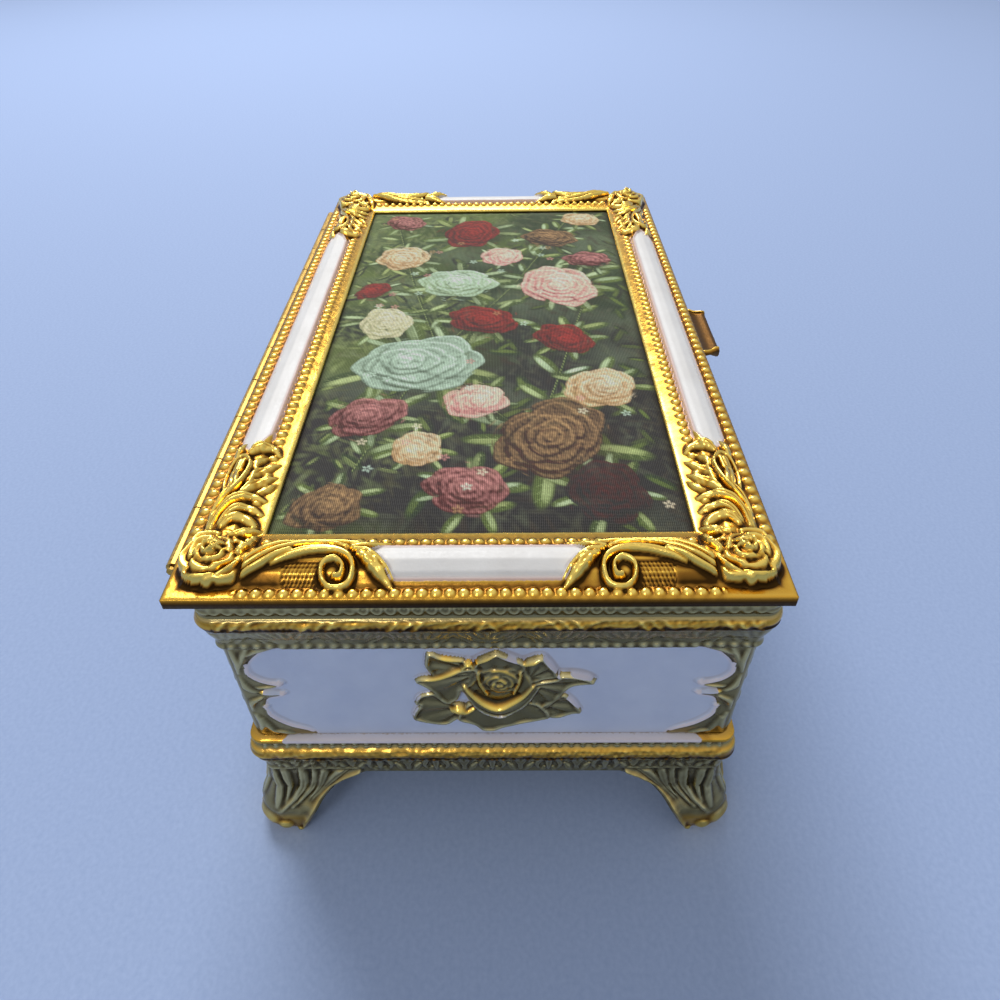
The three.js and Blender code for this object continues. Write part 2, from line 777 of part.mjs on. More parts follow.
const pocketTop = rimTop + pocketRoof - 0.1;
const fabricBottom = pocketTop - fabricThickness;
const boardBottom = fabricBottom - seat - boardThickness;
const liningTop = boardBottom - seat;

function makePictureFabric() {
  const flange = pocketInset + fitGap;
  const inside = frameBorder + 0.4;
  const levels = [
    [-flange, fabricBottom],
    [-flange, pocketTop],
    [-inside, pocketTop],
    [-inside - 3, pocketTop + fabricCrown * 0.55],
    [-inside - 12, pocketTop + fabricCrown],
  ];
  return stack(levels, lidHalfX, lidHalfY, 0, 0).translate(0, lidShift, 0);
}

function makePictureBoard() {
  const inset = pocketInset + fitGap;
  const levels = [[-inset, boardBottom], [-inset, fabricBottom - seat]];
  return stack(levels, lidHalfX, lidHalfY, 0, 0).translate(0, lidShift, 0);
}

function makeLidLining() {
  const inset = pocketInset + fitGap;
  const flat = liningTop - liningThickness;
  const levels = [
    [-inset - 20, flat - liningCrown],
    [-inset - 13, flat - liningCrown * 0.7],
    [-inset - 9, flat],
    [-inset, flat],
    [-inset, liningTop],
  ];
  return stack(levels, lidHalfX, lidHalfY, 0, 0).translate(0, lidShift, 0);
}

// The clasp: a thumb tab with turned-up ends, riveted under the front rim
const claspFrontY = lidShift - lidHalfY - claspReach;
const claspBack = 5.2; // how far the tab runs in under the rim
const rivetRadius = 0.75;
const rivetLength = 1.9;

function claspSeat() {
  const half = claspWidth / 2 + screwFit;
  const edge = lidShift - lidHalfY;
  const top = rimBottom + claspThickness + seat;
  return block(-half, half, edge - 1, edge + claspBack + screwFit, rimBottom - 1, top);
}

function claspRivetPlaces() {
  const y = lidShift - lidHalfY + claspBack * 0.6;
  return [[-claspWidth * 0.28, y], [claspWidth * 0.28, y]];
}

function makeLidClasp() {
  const z0 = rimBottom;
  const z1 = rimBottom + claspThickness;
  const half = claspWidth / 2;
  const narrow = half - 1.6;
  const edge = lidShift - lidHalfY;
  const back = edge + claspBack;
  const outline = [
    [-half, edge],
    [-narrow, claspFrontY],
    [narrow, claspFrontY],
    [half, edge],
    [half, back],
    [-half, back],
  ];
  const lipEdge = claspFrontY + claspThickness;
  const lipLow = z1 - claspDrop;
  const lip = [[claspFrontY, z1], [claspFrontY, lipLow], [lipEdge, lipLow], [lipEdge + 0.8, z1]];
  const curl = prism(lip, -narrow, narrow).rotateX(Math.PI / 2).rotateZ(Math.PI / 2);
  const ends = [-1, 1].map((side) => {
    const wall = block(-0.45, 0.45, -claspReach + 0.3, 0, z0, z1 + 0.7);
    const lean = side * Math.atan2(half - narrow, claspReach);
    return wall.rotateZ(-lean).translate(side * (half - 0.5), edge - screwFit, 0);
  });
  const holes = claspRivetPlaces().map(([x, y]) => hole(rivetRadius, x, y, z0 - 1, z1 + 1));
  return cut(join(prism(outline, z0, z1), curl, ...ends), ...holes);
}

// The tray, which stands on the base flange and covers the movement
const trayTop = bodyTop - 1.2;
const trayFloorTop = trayTop - trayDepth;
const trayHalfX = halfX - Math.max(wallThickness, baseWall) - fitGap;
const trayHalfY = halfY - Math.max(wallThickness, baseWall) - fitGap;
const stopColumn = 2.4; // half the side of the column that the stop rod runs in

function makeTray() {
  const outer = stack([[0, flangeTop + seat], [0, trayTop]], trayHalfX, trayHalfY, 0, 0);
  const x = trayHalfX - trayWall;
  const y = trayHalfY - trayWall;
  const under = block(-x, x, -y, y, flangeTop - 1, trayFloorTop - trayFloor);
  const left = block(-x, trayDividerX - trayWall / 2, -y, y, trayFloorTop, trayTop + 1);
  const right = block(trayDividerX + trayWall / 2, x, -y, y, trayFloorTop, trayTop + 1);
  const dip = block(-x, x, -y, y, trayTop - trayDividerDrop, trayTop + 1);
  const columnBottom = trayFloorTop - trayFloor;
  const column = block(
    stopRodX - stopColumn,
    stopRodX + stopColumn,
    stopRodY - stopColumn,
    trayHalfY - 0.5,
    columnBottom,
    trayTop,
  );
  const bore = bar(stopRodRadius + runFit + 0.1, columnBottom - 1, trayTop + 1, 12);
  return cut(join(cut(outer, under, left, right, dip), column), bore.translate(stopRodX, stopRodY, 0));
}

// Padded rolls that hold rings, side by side across the right compartment
function makeRingCushion() {
  const x0 = trayDividerX + trayWall / 2 + fitGap;
  const x1 = trayHalfX - trayWall - fitGap;
  const y0 = -(trayHalfY - trayWall - fitGap);
  const y1 = stopRodY - stopColumn - fitGap;
  const pitch = (y1 - y0) / ringRollCount;
  const outline = [[y0, 0], [y1, 0]];
  for (let roll = ringRollCount - 1; roll >= 0; roll--) {
    const centre = y0 + (roll + 0.5) * pitch;
    for (let i = 0; i <= 6; i++) {
      const angle = (Math.PI * i) / 6;
      const up = ringRollHeight * (0.45 + 0.55 * Math.sin(angle));
      outline.push([centre + (pitch / 2) * 0.98 * Math.cos(angle), up]);
    }
  }
  const rolls = prism(outline, x0, x1);
  return rolls.rotateY(Math.PI / 2).rotateX(Math.PI / 2).translate(0, 0, trayFloorTop + 0.2);
}

// The movement, placed by its winding arbor
const crownRadius = (crownTeeth * crownPitch) / (2 * Math.PI);
const pinionRadius = (pinionTeeth * crownPitch) / (2 * Math.PI);
const cylinderWheelRadius = (cylinderWheelTeeth * trainPitch) / (2 * Math.PI);
const governorPinionRadius = (governorPinionTeeth * trainPitch) / (2 * Math.PI);
const wormWheelRadius = (wormWheelTeeth * trainPitch) / (2 * Math.PI);
const crownBottom = bedTop + housingHeight + 0.4;
const crownPlane = crownBottom + crownDisc + crownToothHeight * 0.55;
const axleZ = crownPlane + pinionRadius;
const pinionX0 = springX + crownRadius - 1;
const bracketX = springX + crownRadius + crownToothLength / 2 + 0.8;
const drumX0 = bracketX + bracketThickness + 0.6;
const drumX1 = drumX0 + noteCount * notePitch + 1;
const wheelX0 = drumX1 + 0.6;
const frameX = wheelX0 + wheelWidth + 0.7;
const wormWheelX0 = frameX + bracketThickness + 1.4;
const wormX = wormWheelX0 + wheelWidth / 2;
const outerFrameX = wormWheelX0 + wheelWidth + 1.2;
const governorY = springY + cylinderWheelRadius + governorPinionRadius;
const wormMeshRadius = (wormCore + wormOuter) / 2 + 0.08;
const wormY = governorY + wormWheelRadius + wormMeshRadius;
const fanBottom = bedTop + 1.6;
const frameArmBottom = axleZ + wormWheelRadius + 1.4;
const stopRodX = wormX + stopRodRadius * 2;
const stopRodY = wormY + fanRadius + stopRodRadius + rodGap;
const fingerZ = fanBottom + fanHeight + fitGap - stopTravel;
const pivotRadius = thinShaftRadius * 0.7;

function movementScrewPlaces() {
  return [
    [springX - housingRadius - bedMargin / 2, springY],
    [drumX0 + bedMargin, springY + bedBack - bedMargin / 2],
    [drumX1 - bedMargin / 3, springY - bedFront + bedMargin / 2],
  ];
}

// A thin-toothed wheel on the X axis with a tooth at the given angle
function wheelX(teeth, pitch, width, firstAngle, tipReach, rootDepth, bore) {
  const radius = (teeth * pitch) / (2 * Math.PI);
  const tip = radius + tipReach;
  const root = radius - rootDepth;
  const points = [];
  for (let i = 0; i < teeth; i++) {
    const centre = firstAngle + (2 * Math.PI * i) / teeth;
    const rootHalf = (pitch * 0.2) / root;
    const tipHalf = (pitch * 0.11) / tip;
    points.push([root, centre - rootHalf], [tip, centre - tipHalf]);
    points.push([tip, centre + tipHalf], [root, centre + rootHalf]);
  }
  const wheel = prism(points.map(([r, a]) => [r * Math.cos(a), r * Math.sin(a)]), 0, width);
  // Z becomes X, X becomes Y and Y becomes Z, so an angle is measured from +Y towards +Z
  const turned = wheel.rotateX(Math.PI / 2).rotateZ(Math.PI / 2);
  return bore ? cut(turned, barX(bore, -1, width + 1, 12)) : turned;
}

function makeBedplate() {
  const x0 = springX - housingRadius - bedMargin;
  const x1 = outerFrameX + bracketThickness + bedEdge;
  const y0 = springY - bedFront;
  const y1 = springY + bedBack;
  const levels = [[0, bedTop - bedThickness], [0, bedTop]];
  const blank = stack(levels, (x1 - x0) / 2, (y1 - y0) / 2, 3, 2);
  const plate = blank.translate((x0 + x1) / 2, (y0 + y1) / 2, 0);
  const earX0 = stopRodX - stopRodRadius - earReach;
  const earX1 = stopRodX + stopRodRadius + earReach;
  const ear = block(earX0, earX1, y1 - 2, stopRodY + earReach, bedTop - bedThickness, bedTop);
  const bolsterTop = axleZ - combThickness / 2 - seat;
  const bolsterX0 = drumX0 - bedEdge;
  const bolsterX1 = drumX1 + bedEdge;
  const bolsterY1 = combRootY() + combRoot * 0.95;
  const bolster = block(bolsterX0, bolsterX1, y0 + bedEdge, bolsterY1, bedTop - 0.2, bolsterTop);
  const holes = [
    bar(arborRadius + runFit, bedTop - 5, bedTop + 5, 16).translate(springX, springY, 0),
    bar(stopRodRadius + runFit, bedTop - 5, bedTop + 5, 12).translate(stopRodX, stopRodY, 0),
    bar(pivotRadius + runFit, bedTop - 1.2, bedTop + 5, 8).translate(wormX, wormY, 0),
    ...movementScrewPlaces().map(([x, y]) => hole(screwRadius, x, y, bedTop - 5, bedTop - 0.5)),
    ...combScrewPlaces().map(([x, y]) => hole(screwRadius, x, y, axleZ - combScrewLength - 1, axleZ + 1)),
    ...bracketScrewPlaces().map(([x, y]) => hole(smallScrewRadius, x, y, bedTop - 1.4, bedTop + 1)),
  ];
  return cut(join(plate, ear, bolster), ...holes);
}

function makeSpringHousing() {
  const z0 = bedTop + seat;
  const z1 = bedTop + housingHeight;
  const profile = [
    [arborRadius + 1.4, z0],
    [housingRadius, z0],
    [housingRadius, z1],
    [housingRadius - housingWall, z1],
    [housingRadius - housingWall, z0 + housingWall],
    [arborRadius + 1.4, z0 + housingWall],
    [arborRadius + 1.4, z0],
  ].map(([r, z]) => new THREE.Vector2(r, z));
  return new THREE.LatheGeometry(profile, 28).rotateX(Math.PI / 2).translate(springX, springY, 0);
}

// The spring: one flat strip wound from the arbor to the wall of its housing
function makeMainspring() {
  const steps = mainspringTurns * 12;
  const inner = arborRadius + 1.9;
  const outer = housingRadius - housingWall - 0.7;
  const half = mainspringThickness / 2;
  const edge = (offset) =>
    [...Array(steps + 1).keys()].map((i) => {
      const angle = (2 * Math.PI * mainspringTurns * i) / steps;
      const radius = inner + ((outer - inner) * i) / steps + offset;
      return [radius * Math.cos(angle), radius * Math.sin(angle)];
    });
  const low = bedTop + housingWall + 0.3;
  const strip = prism([...edge(half), ...edge(-half).reverse()], low, bedTop + housingHeight - 0.7);
  return strip.translate(springX, springY, 0);
}

// The drive gear: teeth stand up round its rim and drive the cylinder's pinion
function makeDriveGear() {
  const pieces = [bar(crownRadius + crownToothLength / 2, crownBottom, crownBottom + crownDisc, 30)];
  for (let i = 0; i < crownTeeth; i++) {
    const foot = crownPitch * 0.2;
    const tip = crownPitch * 0.11;
    const z0 = crownBottom + crownDisc - 0.1;
    const z1 = crownBottom + crownDisc + crownToothHeight;
    const outline = [[-foot, z0], [foot, z0], [tip, z1], [-tip, z1]];
    const tooth = prism(outline, -crownToothLength * 0.5, crownToothLength * 0.46);
    const standing = tooth.rotateX(Math.PI / 2).rotateZ(Math.PI / 2).translate(crownRadius, 0, 0);
    pieces.push(standing.rotateZ((2 * Math.PI * i) / crownTeeth));
  }
  pieces.push(bar(arborRadius + 1.6, crownBottom + 0.2, crownBottom + crownDisc + 1.4, 12));
  const bore = bar(arborRadius + seat, crownBottom - 1, crownBottom + 9, 16);
  return cut(join(...pieces), bore).translate(springX, springY, 0);
}

const keyTop = keyFloorGap + keyHeight + 4.5;

function makeSpringArbor() {
  const hub = bar(arborRadius + 1, bedTop + housingWall + 0.4, bedTop + housingHeight - 0.5, 16);
  const shaft = bar(arborRadius, keyTop - 3.5, crownBottom + crownDisc + 2, 16);
  return join(shaft, hub).translate(springX, springY, 0);
}

function makeWindingKey() {
  const lobe = keyHeight * 0.5;
  const outline = [];
  const reach = keyWidth / 2 - lobe;
  for (let i = 0; i <= 10; i++) {
    const angle = -Math.PI / 2 + (Math.PI * i) / 10;
    outline.push([reach + lobe * Math.cos(angle), lobe * Math.sin(angle)]);
  }
  outline.push([1.8, lobe * 0.55]);
  outline.push([-1.8, lobe * 0.55]);
  for (let i = 0; i <= 10; i++) {
    const angle = Math.PI / 2 + (Math.PI * i) / 10;
    outline.push([-reach + lobe * Math.cos(angle), lobe * Math.sin(angle)]);
  }
  outline.push([0, -lobe * 0.7]);
  const middle = keyFloorGap + lobe;
  const flat = prism(outline, -keyThickness / 2, keyThickness / 2);
  const wings = flat.rotateX(Math.PI / 2).translate(0, 0, middle);
  const sleeve = bar(arborRadius + 1, middle, keyTop, 14);
  const eye = (side) => bar(lobe * 0.42, -4, 4, 12).rotateX(Math.PI / 2).translate(side * reach, 0, middle);
  const bore = bar(arborRadius + seat, keyTop - 4, keyTop + 1, 16);
  return cut(join(wings, sleeve), bore, eye(-1), eye(1)).translate(springX, springY, 0);
}

function onAxle(geometry) {
  return geometry.translate(0, springY, axleZ);
}

// Pins stand in rings, one ring for each note, at angles that no two notes share
function makeDrum() {
  const pieces = [barX(drumRadius, drumX0, drumX1, 36)];
  for (let note = 0; note < noteCount; note++) {
    for (let i = 0; i < pinsPerNote; i++) {
      const angle = 2.4 * note + (2 * Math.PI * i) / pinsPerNote + 0.35 * Math.sin(3 * note + i);
      const pin = block(-0.16, 0.16, -0.16, 0.16, drumRadius - 0.4, drumRadius + pinHeight);
      pieces.push(pin.rotateX(angle).translate(drumX0 + 0.5 + (note + 0.5) * notePitch, 0, 0));
    }
  }
  return onAxle(cut(join(...pieces), barX(shaftRadius + seat, drumX0 - 1, drumX1 + 1, 12)));
}

function makeCylinderShaft() {
  const shaft = barX(shaftRadius, pinionX0 - 0.6, frameX + bracketThickness * 0.8, 12);
  const gap = Math.PI / pinionTeeth;
  const pinion = wheelX(pinionTeeth, crownPitch, 2, -Math.PI / 2 + gap, 0.55, 1.1);
  return onAxle(join(shaft, pinion.translate(pinionX0, 0, 0)));
}

function makeCylinderWheel() {
  const wheel = wheelX(cylinderWheelTeeth, trainPitch, wheelWidth, 0, 0.42, 0.75, shaftRadius + seat);
  return onAxle(wheel.translate(wheelX0, 0, 0));
}

function bracketScrewPlaces() {
  return [
    [bracketX + bracketThickness + padWidth / 2, springY + bearingHalf + footLength - padWidth / 2],
    [frameX - padWidth / 2, springY - bearingHalf - footLength + padWidth / 2],
  ];
}

function makeCylinderBracket() {
  const x1 = bracketX + bracketThickness;
  const y1 = springY + bearingHalf + footLength;
  const [z0, z1] = [bedTop + seat, bedTop + seat + footThickness];
  const postTop = axleZ + bearingHalf;
  const post = block(bracketX, x1, springY - bearingHalf, springY + bearingHalf, z0, postTop);
  const foot = block(bracketX, x1, springY, y1, z0, z1);
  const pad = block(bracketX, x1 + padWidth, y1 - padWidth, y1, z0, z1);
  const bore = barX(shaftRadius + runFit, bracketX - 1, bracketX + 9, 12).translate(0, springY, axleZ);
  const [x, y] = bracketScrewPlaces()[0];
  return cut(join(post, foot, pad), bore, hole(smallScrewRadius, x, y, bedTop - 1, bedTop + 3));
}

function combRootY() {
  return springY - drumRadius - pinHeight - combGap - combToothLength - combRoot;
}

function combScrewPlaces() {
  const y = combRootY() + combRoot * 0.475;
  const middle = (drumX0 + drumX1) / 2;
  return [[middle - combScrewSpacing / 2, y], [middle + combScrewSpacing / 2, y]];
}

// One steel plate slit into a tongue for each note
function makeComb() {
  const tipY = springY - drumRadius - pinHeight - combGap;
  const rootY = tipY - combToothLength;
  const start = drumX0 + 0.5;
  const half = notePitch * 0.37;
  const outline = [[start, combRootY()], [start + noteCount * notePitch, combRootY()]];
  for (let note = noteCount - 1; note >= 0; note--) {
    const x = start + (note + 0.5) * notePitch;
    outline.push([x + half, rootY], [x + half * 0.7, tipY], [x - half * 0.7, tipY], [x - half, rootY]);
  }
  const plate = prism(outline, axleZ - combThickness / 2, axleZ + combThickness / 2);
  return cut(plate, ...combScrewPlaces().map(([x, y]) => hole(screwRadius, x, y, axleZ - 4, axleZ + 4)));
}

function makeGovernorFrame() {
  const x1 = frameX + bracketThickness;
  const outerX1 = outerFrameX + bracketThickness;
  const armTop = frameArmBottom + armThickness;
  const lowY = wormY - fanRadius - fitGap;
  const frontY = springY - bearingHalf - footLength;
  const [z0, z1] = [bedTop + seat, bedTop + seat + footThickness];
  const armY = governorY - shaftBoss;
  const pieces = [
    block(frameX, x1, springY - bearingHalf, lowY, z0, armTop),
    block(frameX, x1, springY, governorY + shaftBoss, axleZ - bearingHalf, armTop),
    block(frameX, outerX1, armY, wormY + shaftBoss, frameArmBottom, armTop),
    block(outerFrameX, outerX1, armY, governorY + shaftBoss, axleZ - shaftBoss, armTop),
    block(frameX, x1, frontY, springY, z0, z1),
    block(frameX - padWidth, x1, frontY, frontY + padWidth, z0, z1),
  ];
  const [screwX, screwY] = bracketScrewPlaces()[1];
  const holes = [
    barX(shaftRadius + runFit, frameX - 1, x1 + 0.4, 12).translate(0, springY, axleZ),
    barX(thinShaftRadius + runFit, frameX - 1, outerX1 + 1, 10).translate(0, governorY, axleZ),
    bar(pivotRadius + runFit, frameArmBottom - 1, armTop + 1, 8).translate(wormX, wormY, 0),
    hole(smallScrewRadius, screwX, screwY, bedTop - 1, bedTop + 3),
  ];
  return cut(join(...pieces), ...holes);
}

function makeGovernorShaft() {
  const shaft = barX(thinShaftRadius, wheelX0 - 0.3, outerFrameX + bracketThickness * 0.8, 10);
  const gap = Math.PI / governorPinionTeeth;
  const pinion = wheelX(governorPinionTeeth, trainPitch, wheelWidth, Math.PI + gap, 0.42, 0.75);
  return join(shaft, pinion.translate(wheelX0, 0, 0)).translate(0, governorY, axleZ);
}

function makeWormWheel() {
  const wheel = wheelX(wormWheelTeeth, trainPitch, wheelWidth, 0, 0.36, 0.75, thinShaftRadius + seat);
  return wheel.translate(wormWheelX0, governorY, axleZ);
}

// A right-handed screw thread, one swept fin round the core
const threadSteps = 8;
const threadCount = Math.floor((threadSteps * (wormLength - 0.8)) / trainPitch);
const threadTurns = threadCount / threadSteps;

function wormThread() {
  const positions = [];
  const faces = [];
  const inner = wormCore * 0.8;
  const section = [[inner, -0.28], [wormOuter, -0.12], [wormOuter, 0.12], [inner, 0.28]];
  for (let i = 0; i <= threadCount; i++) {
    const angle = (2 * Math.PI * i) / threadSteps;
    const rise = axleZ + trainPitch * (i / threadSteps - threadTurns / 2);
    section.forEach(([r, z]) => positions.push([r * Math.cos(angle), r * Math.sin(angle), rise + z]));
  }
  for (let i = 0; i < threadCount; i++) {
    for (let j = 0; j < 4; j++) {
      const a = i * 4 + j;
      const b = i * 4 + ((j + 1) % 4);
      faces.push([a, a + 4, b], [b, a + 4, b + 4]);
    }
  }
  const last = threadCount * 4;
  faces.push([0, 1, 2], [0, 2, 3], [last, last + 2, last + 1], [last, last + 3, last + 2]);
  return surface(positions, faces);
}

// The thread is turned so that a wheel tooth lies midway between two turns of it
function makeWorm() {
  const pieces = [
    bar(pivotRadius, bedTop - 0.8, frameArmBottom + 1, 8),
    bar(wormCore, fanBottom - 0.6, frameArmBottom - 0.3, 10),
    wormThread().rotateZ(-Math.PI / 2 - Math.PI * (threadTurns - 1)),
  ];
  return join(...pieces).translate(wormX, wormY, 0);
}

function makeFan() {
  const half = fanThickness / 2;
  const top = fanBottom + fanHeight;
  const blade = block(-fanRadius, fanRadius, -half, half, fanBottom, top);
  const hub = bar(wormCore + 0.7, fanBottom, top, 10);
  const bore = bar(wormCore + seat, fanBottom - 1, top + 1, 10);
  return cut(join(blade, hub), bore).rotateZ(0.5).translate(wormX, wormY, 0);
}

// The stop: the closed lid holds the rod down, and its finger then lies beside the fan
function makeStopRod() {
  const rod = bar(stopRodRadius, bedTop - 1.2, rimBottom - fitGap, 12);
  const fingerTop = fingerZ + fingerThickness;
  const collar = bar(stopRodRadius + collarReach, fingerZ, fingerTop, 12);
  const dx = wormX - stopRodX;
  const dy = wormY - stopRodY;
  const reach = Math.hypot(dx, dy) - fanRadius - fitGap;
  const finger = block(0, reach, -0.6, 0.6, fingerZ, fingerTop).rotateZ(Math.atan2(dy, dx));
  return join(rod, collar, finger).translate(stopRodX, stopRodY, 0);
}

function makeStopSpring() {
  const wire = 0.22;
  const coilRadius = stopRodRadius + 0.2 + 2 * wire;
  const low = bedTop + wire + 0.1;
  const high = fingerZ - wire - 0.1;
  const steps = stopCoilTurns * 8;
  const path = new THREE.CatmullRomCurve3(
    [...Array(steps + 1).keys()].map((i) => {
      const angle = (2 * Math.PI * i) / 8;
      const z = low + ((high - low) * i) / steps;
      return new THREE.Vector3(coilRadius * Math.cos(angle), coilRadius * Math.sin(angle), z);
    }),
  );
  const corner = (i) => new THREE.Vector2(wire, 0).rotateAround(new THREE.Vector2(), (2 * Math.PI * i) / 5);
  const section = new THREE.Shape([...Array(5).keys()].map(corner));
  const coil = new THREE.ExtrudeGeometry(section, { steps, extrudePath: path, bevelEnabled: false });
  return coil.translate(stopRodX, stopRodY, 0);
}

// Materials
const finish = (color, metalness, roughness) => ({ color, metalness, roughness });
const gilt = finish(0xd6a53a, 1, 0.28);
const brass = finish(0xc9a24b, 1, 0.35);
const steel = finish(0xb9bcc0, 1, 0.3);
const castIron = finish(0x8f8f8c, 0.8, 0.5);
const velvet = finish(0x7a1526, 0, 0.95);
const satin = finish(0x8c1d30, 0, 0.6);
const fabric = finish(0x4c5a3e, 0, 0.9);
const card = finish(0xb49a6c, 0, 0.9);
const sheet = finish(0xa8853a, 0.9, 0.4);

const box = new THREE.Group();
function add(name, geometry, look) {
  const flat = geometry.index ? geometry.toNonIndexed() : geometry;
  flat.computeVertexNormals();
  const mesh = new THREE.Mesh(flat, new THREE.MeshStandardMaterial({ ...look }));
  mesh.name = name;
  box.add(mesh);
}

add("body_shell", makeBodyShell(), gilt);
add("base_frame", makeBaseFrame(), gilt);
add("bottom_cover", makeBottomCover(), sheet);
coverScrewPlaces().forEach(([x, y], i) => {
  const screw = screwUp(screwRadius, 2, 0.5, coverTop - coverThickness - seat, coverScrewLength);
  add(`cover_screw_${i + 1}`, screw.translate(x, y, 0), steel);
});
add("jewel_tray", makeTray(), velvet);
add("ring_cushion", makeRingCushion(), velvet);

add("lid_frame", makeLidFrame(), gilt);
add("picture_fabric", makePictureFabric(), fabric);
add("picture_board", makePictureBoard(), card);
add("lid_lining", makeLidLining(), satin);
add("hinge_lid_leaf", makeLidLeaf(), brass);
add("hinge_body_leaf", makeBodyLeaf(), brass);
add("hinge_pin", makeHingePin(), steel);
lidScrewXs.forEach((x, i) => {
  const z = lidLeafBottom - seat;
  const screw = screwUp(hingeScrewRadius, hingeHeadRadius, hingeHeadHeight, z, lidScrewLength);
  add(`hinge_lid_screw_${i + 1}`, screw.translate(x, lidScrewY, 0), brass);
});
bodyScrewXs.forEach((x, i) => {
  const z = bodyLeafTop + seat;
  const screw = screwDown(hingeScrewRadius, hingeHeadRadius, hingeHeadHeight, z, bodyScrewLength);
  add(`hinge_body_screw_${i + 1}`, screw.translate(x, bodyScrewY, 0), brass);
});
add("lid_clasp", makeLidClasp(), gilt);
claspRivetPlaces().forEach(([x, y], i) => {
  const rivet = screwUp(rivetRadius, 1.3, 0.2, rimBottom - seat, rivetLength);
  add(`clasp_rivet_${i + 1}`, rivet.translate(x, y, 0), brass);
});

add("bedplate", makeBedplate(), castIron);
add("spring_housing", makeSpringHousing(), castIron);
add("mainspring", makeMainspring(), steel);
add("spring_arbor", makeSpringArbor(), steel);
add("drive_gear", makeDriveGear(), brass);
add("winding_key", makeWindingKey(), brass);
add("pinned_cylinder", makeDrum(), brass);
add("cylinder_shaft", makeCylinderShaft(), steel);
add("cylinder_wheel", makeCylinderWheel(), brass);
add("cylinder_bracket", makeCylinderBracket(), castIron);
add("comb", makeComb(), steel);
combScrewPlaces().forEach(([x, y], i) => {
  const screw = screwDown(screwRadius, 1.8, 1, axleZ + combThickness / 2 + seat, combScrewLength);
  add(`comb_screw_${i + 1}`, screw.translate(x, y, 0), steel);
});
add("governor_frame", makeGovernorFrame(), castIron);
bracketScrewPlaces().forEach(([x, y], i) => {
  const z = bedTop + footThickness + 2 * seat;
  const screw = screwDown(smallScrewRadius, 1.5, 0.8, z, bracketScrewLength);
  add(`bracket_screw_${i + 1}`, screw.translate(x, y, 0), steel);
});
add("governor_shaft", makeGovernorShaft(), steel);
add("worm_wheel", makeWormWheel(), brass);
add("worm", makeWorm(), steel);
add("fan", makeFan(), brass);
movementScrewPlaces().forEach(([x, y], i) => {
  const screw = screwUp(screwRadius, 1.8, 0.5, coverTop - coverThickness - seat, movementScrewLength);
  add(`movement_screw_${i + 1}`, screw.translate(x, y, 0), steel);
});
add("stop_rod", makeStopRod(), steel);
add("stop_spring", makeStopSpring(), steel);

export default box;
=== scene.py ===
# %% [markdown]
# # A musical jewel box, dressed for its picture
#
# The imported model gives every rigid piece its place, in metres. This script adds what a plain solid
# cannot show: cast relief, enamel, printed cloth, satin and flock. Each step says what the piece is in
# reality, how it could be made here, and why it is made this way.

# %%
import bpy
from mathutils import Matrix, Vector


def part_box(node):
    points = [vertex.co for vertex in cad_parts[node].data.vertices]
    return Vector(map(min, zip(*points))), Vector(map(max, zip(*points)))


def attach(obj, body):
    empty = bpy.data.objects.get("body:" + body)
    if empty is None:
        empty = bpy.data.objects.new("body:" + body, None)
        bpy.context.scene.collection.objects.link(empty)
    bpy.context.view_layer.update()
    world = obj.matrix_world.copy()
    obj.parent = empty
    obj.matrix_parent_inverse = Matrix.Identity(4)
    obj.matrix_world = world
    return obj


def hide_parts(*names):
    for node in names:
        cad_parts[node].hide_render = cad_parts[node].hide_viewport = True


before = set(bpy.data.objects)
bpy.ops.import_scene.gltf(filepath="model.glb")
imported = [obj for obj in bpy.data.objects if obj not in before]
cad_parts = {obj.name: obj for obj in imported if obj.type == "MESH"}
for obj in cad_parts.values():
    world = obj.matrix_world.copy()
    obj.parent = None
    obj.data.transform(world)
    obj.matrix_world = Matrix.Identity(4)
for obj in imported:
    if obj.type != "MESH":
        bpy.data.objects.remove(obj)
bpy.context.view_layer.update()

import math

import bpy
import numpy as np
from mathutils import Matrix, Vector

MM = 0.001

# %% [markdown]
# ## Sizes
#
# The casting sizes are those of the solids: the walls stand on a rectangle of half_x by half_y, and
# the lid reaches past them on every side, a little further at the back.

# %%
half_x, half_y = 91.1, 51.3
wall_corner = 1.2
wall_thickness, base_wall = 1.8, 2.0
foot_height, base_top, wall_top, body_top = 20.0, 34.8, 65.3, 80.8
rim_bottom, rim_top = 81.1, 83.5
lid_x, lid_y, lid_shift = 94.9, 55.1, 1.4
frame_border, pocket_inset, pocket_roof = 15.2, 9.0, 0.4
foot_reach, foot_sole, foot_spread = 5.2, 5.0, 22.0
clasp_half, clasp_reach = 11.9, 4.9
leaf_pitch = 12.8  # leaf motifs along the cornice and the apron
rose_half = 23.0  # from the middle of a wall to the end of its rose
coarse = 1.0

# %% [markdown]
# ## Small helpers
#
# Meshes are built from arrays of points, because a casting like this has its whole shape in a relief
# that is easier to calculate than to model by hand.

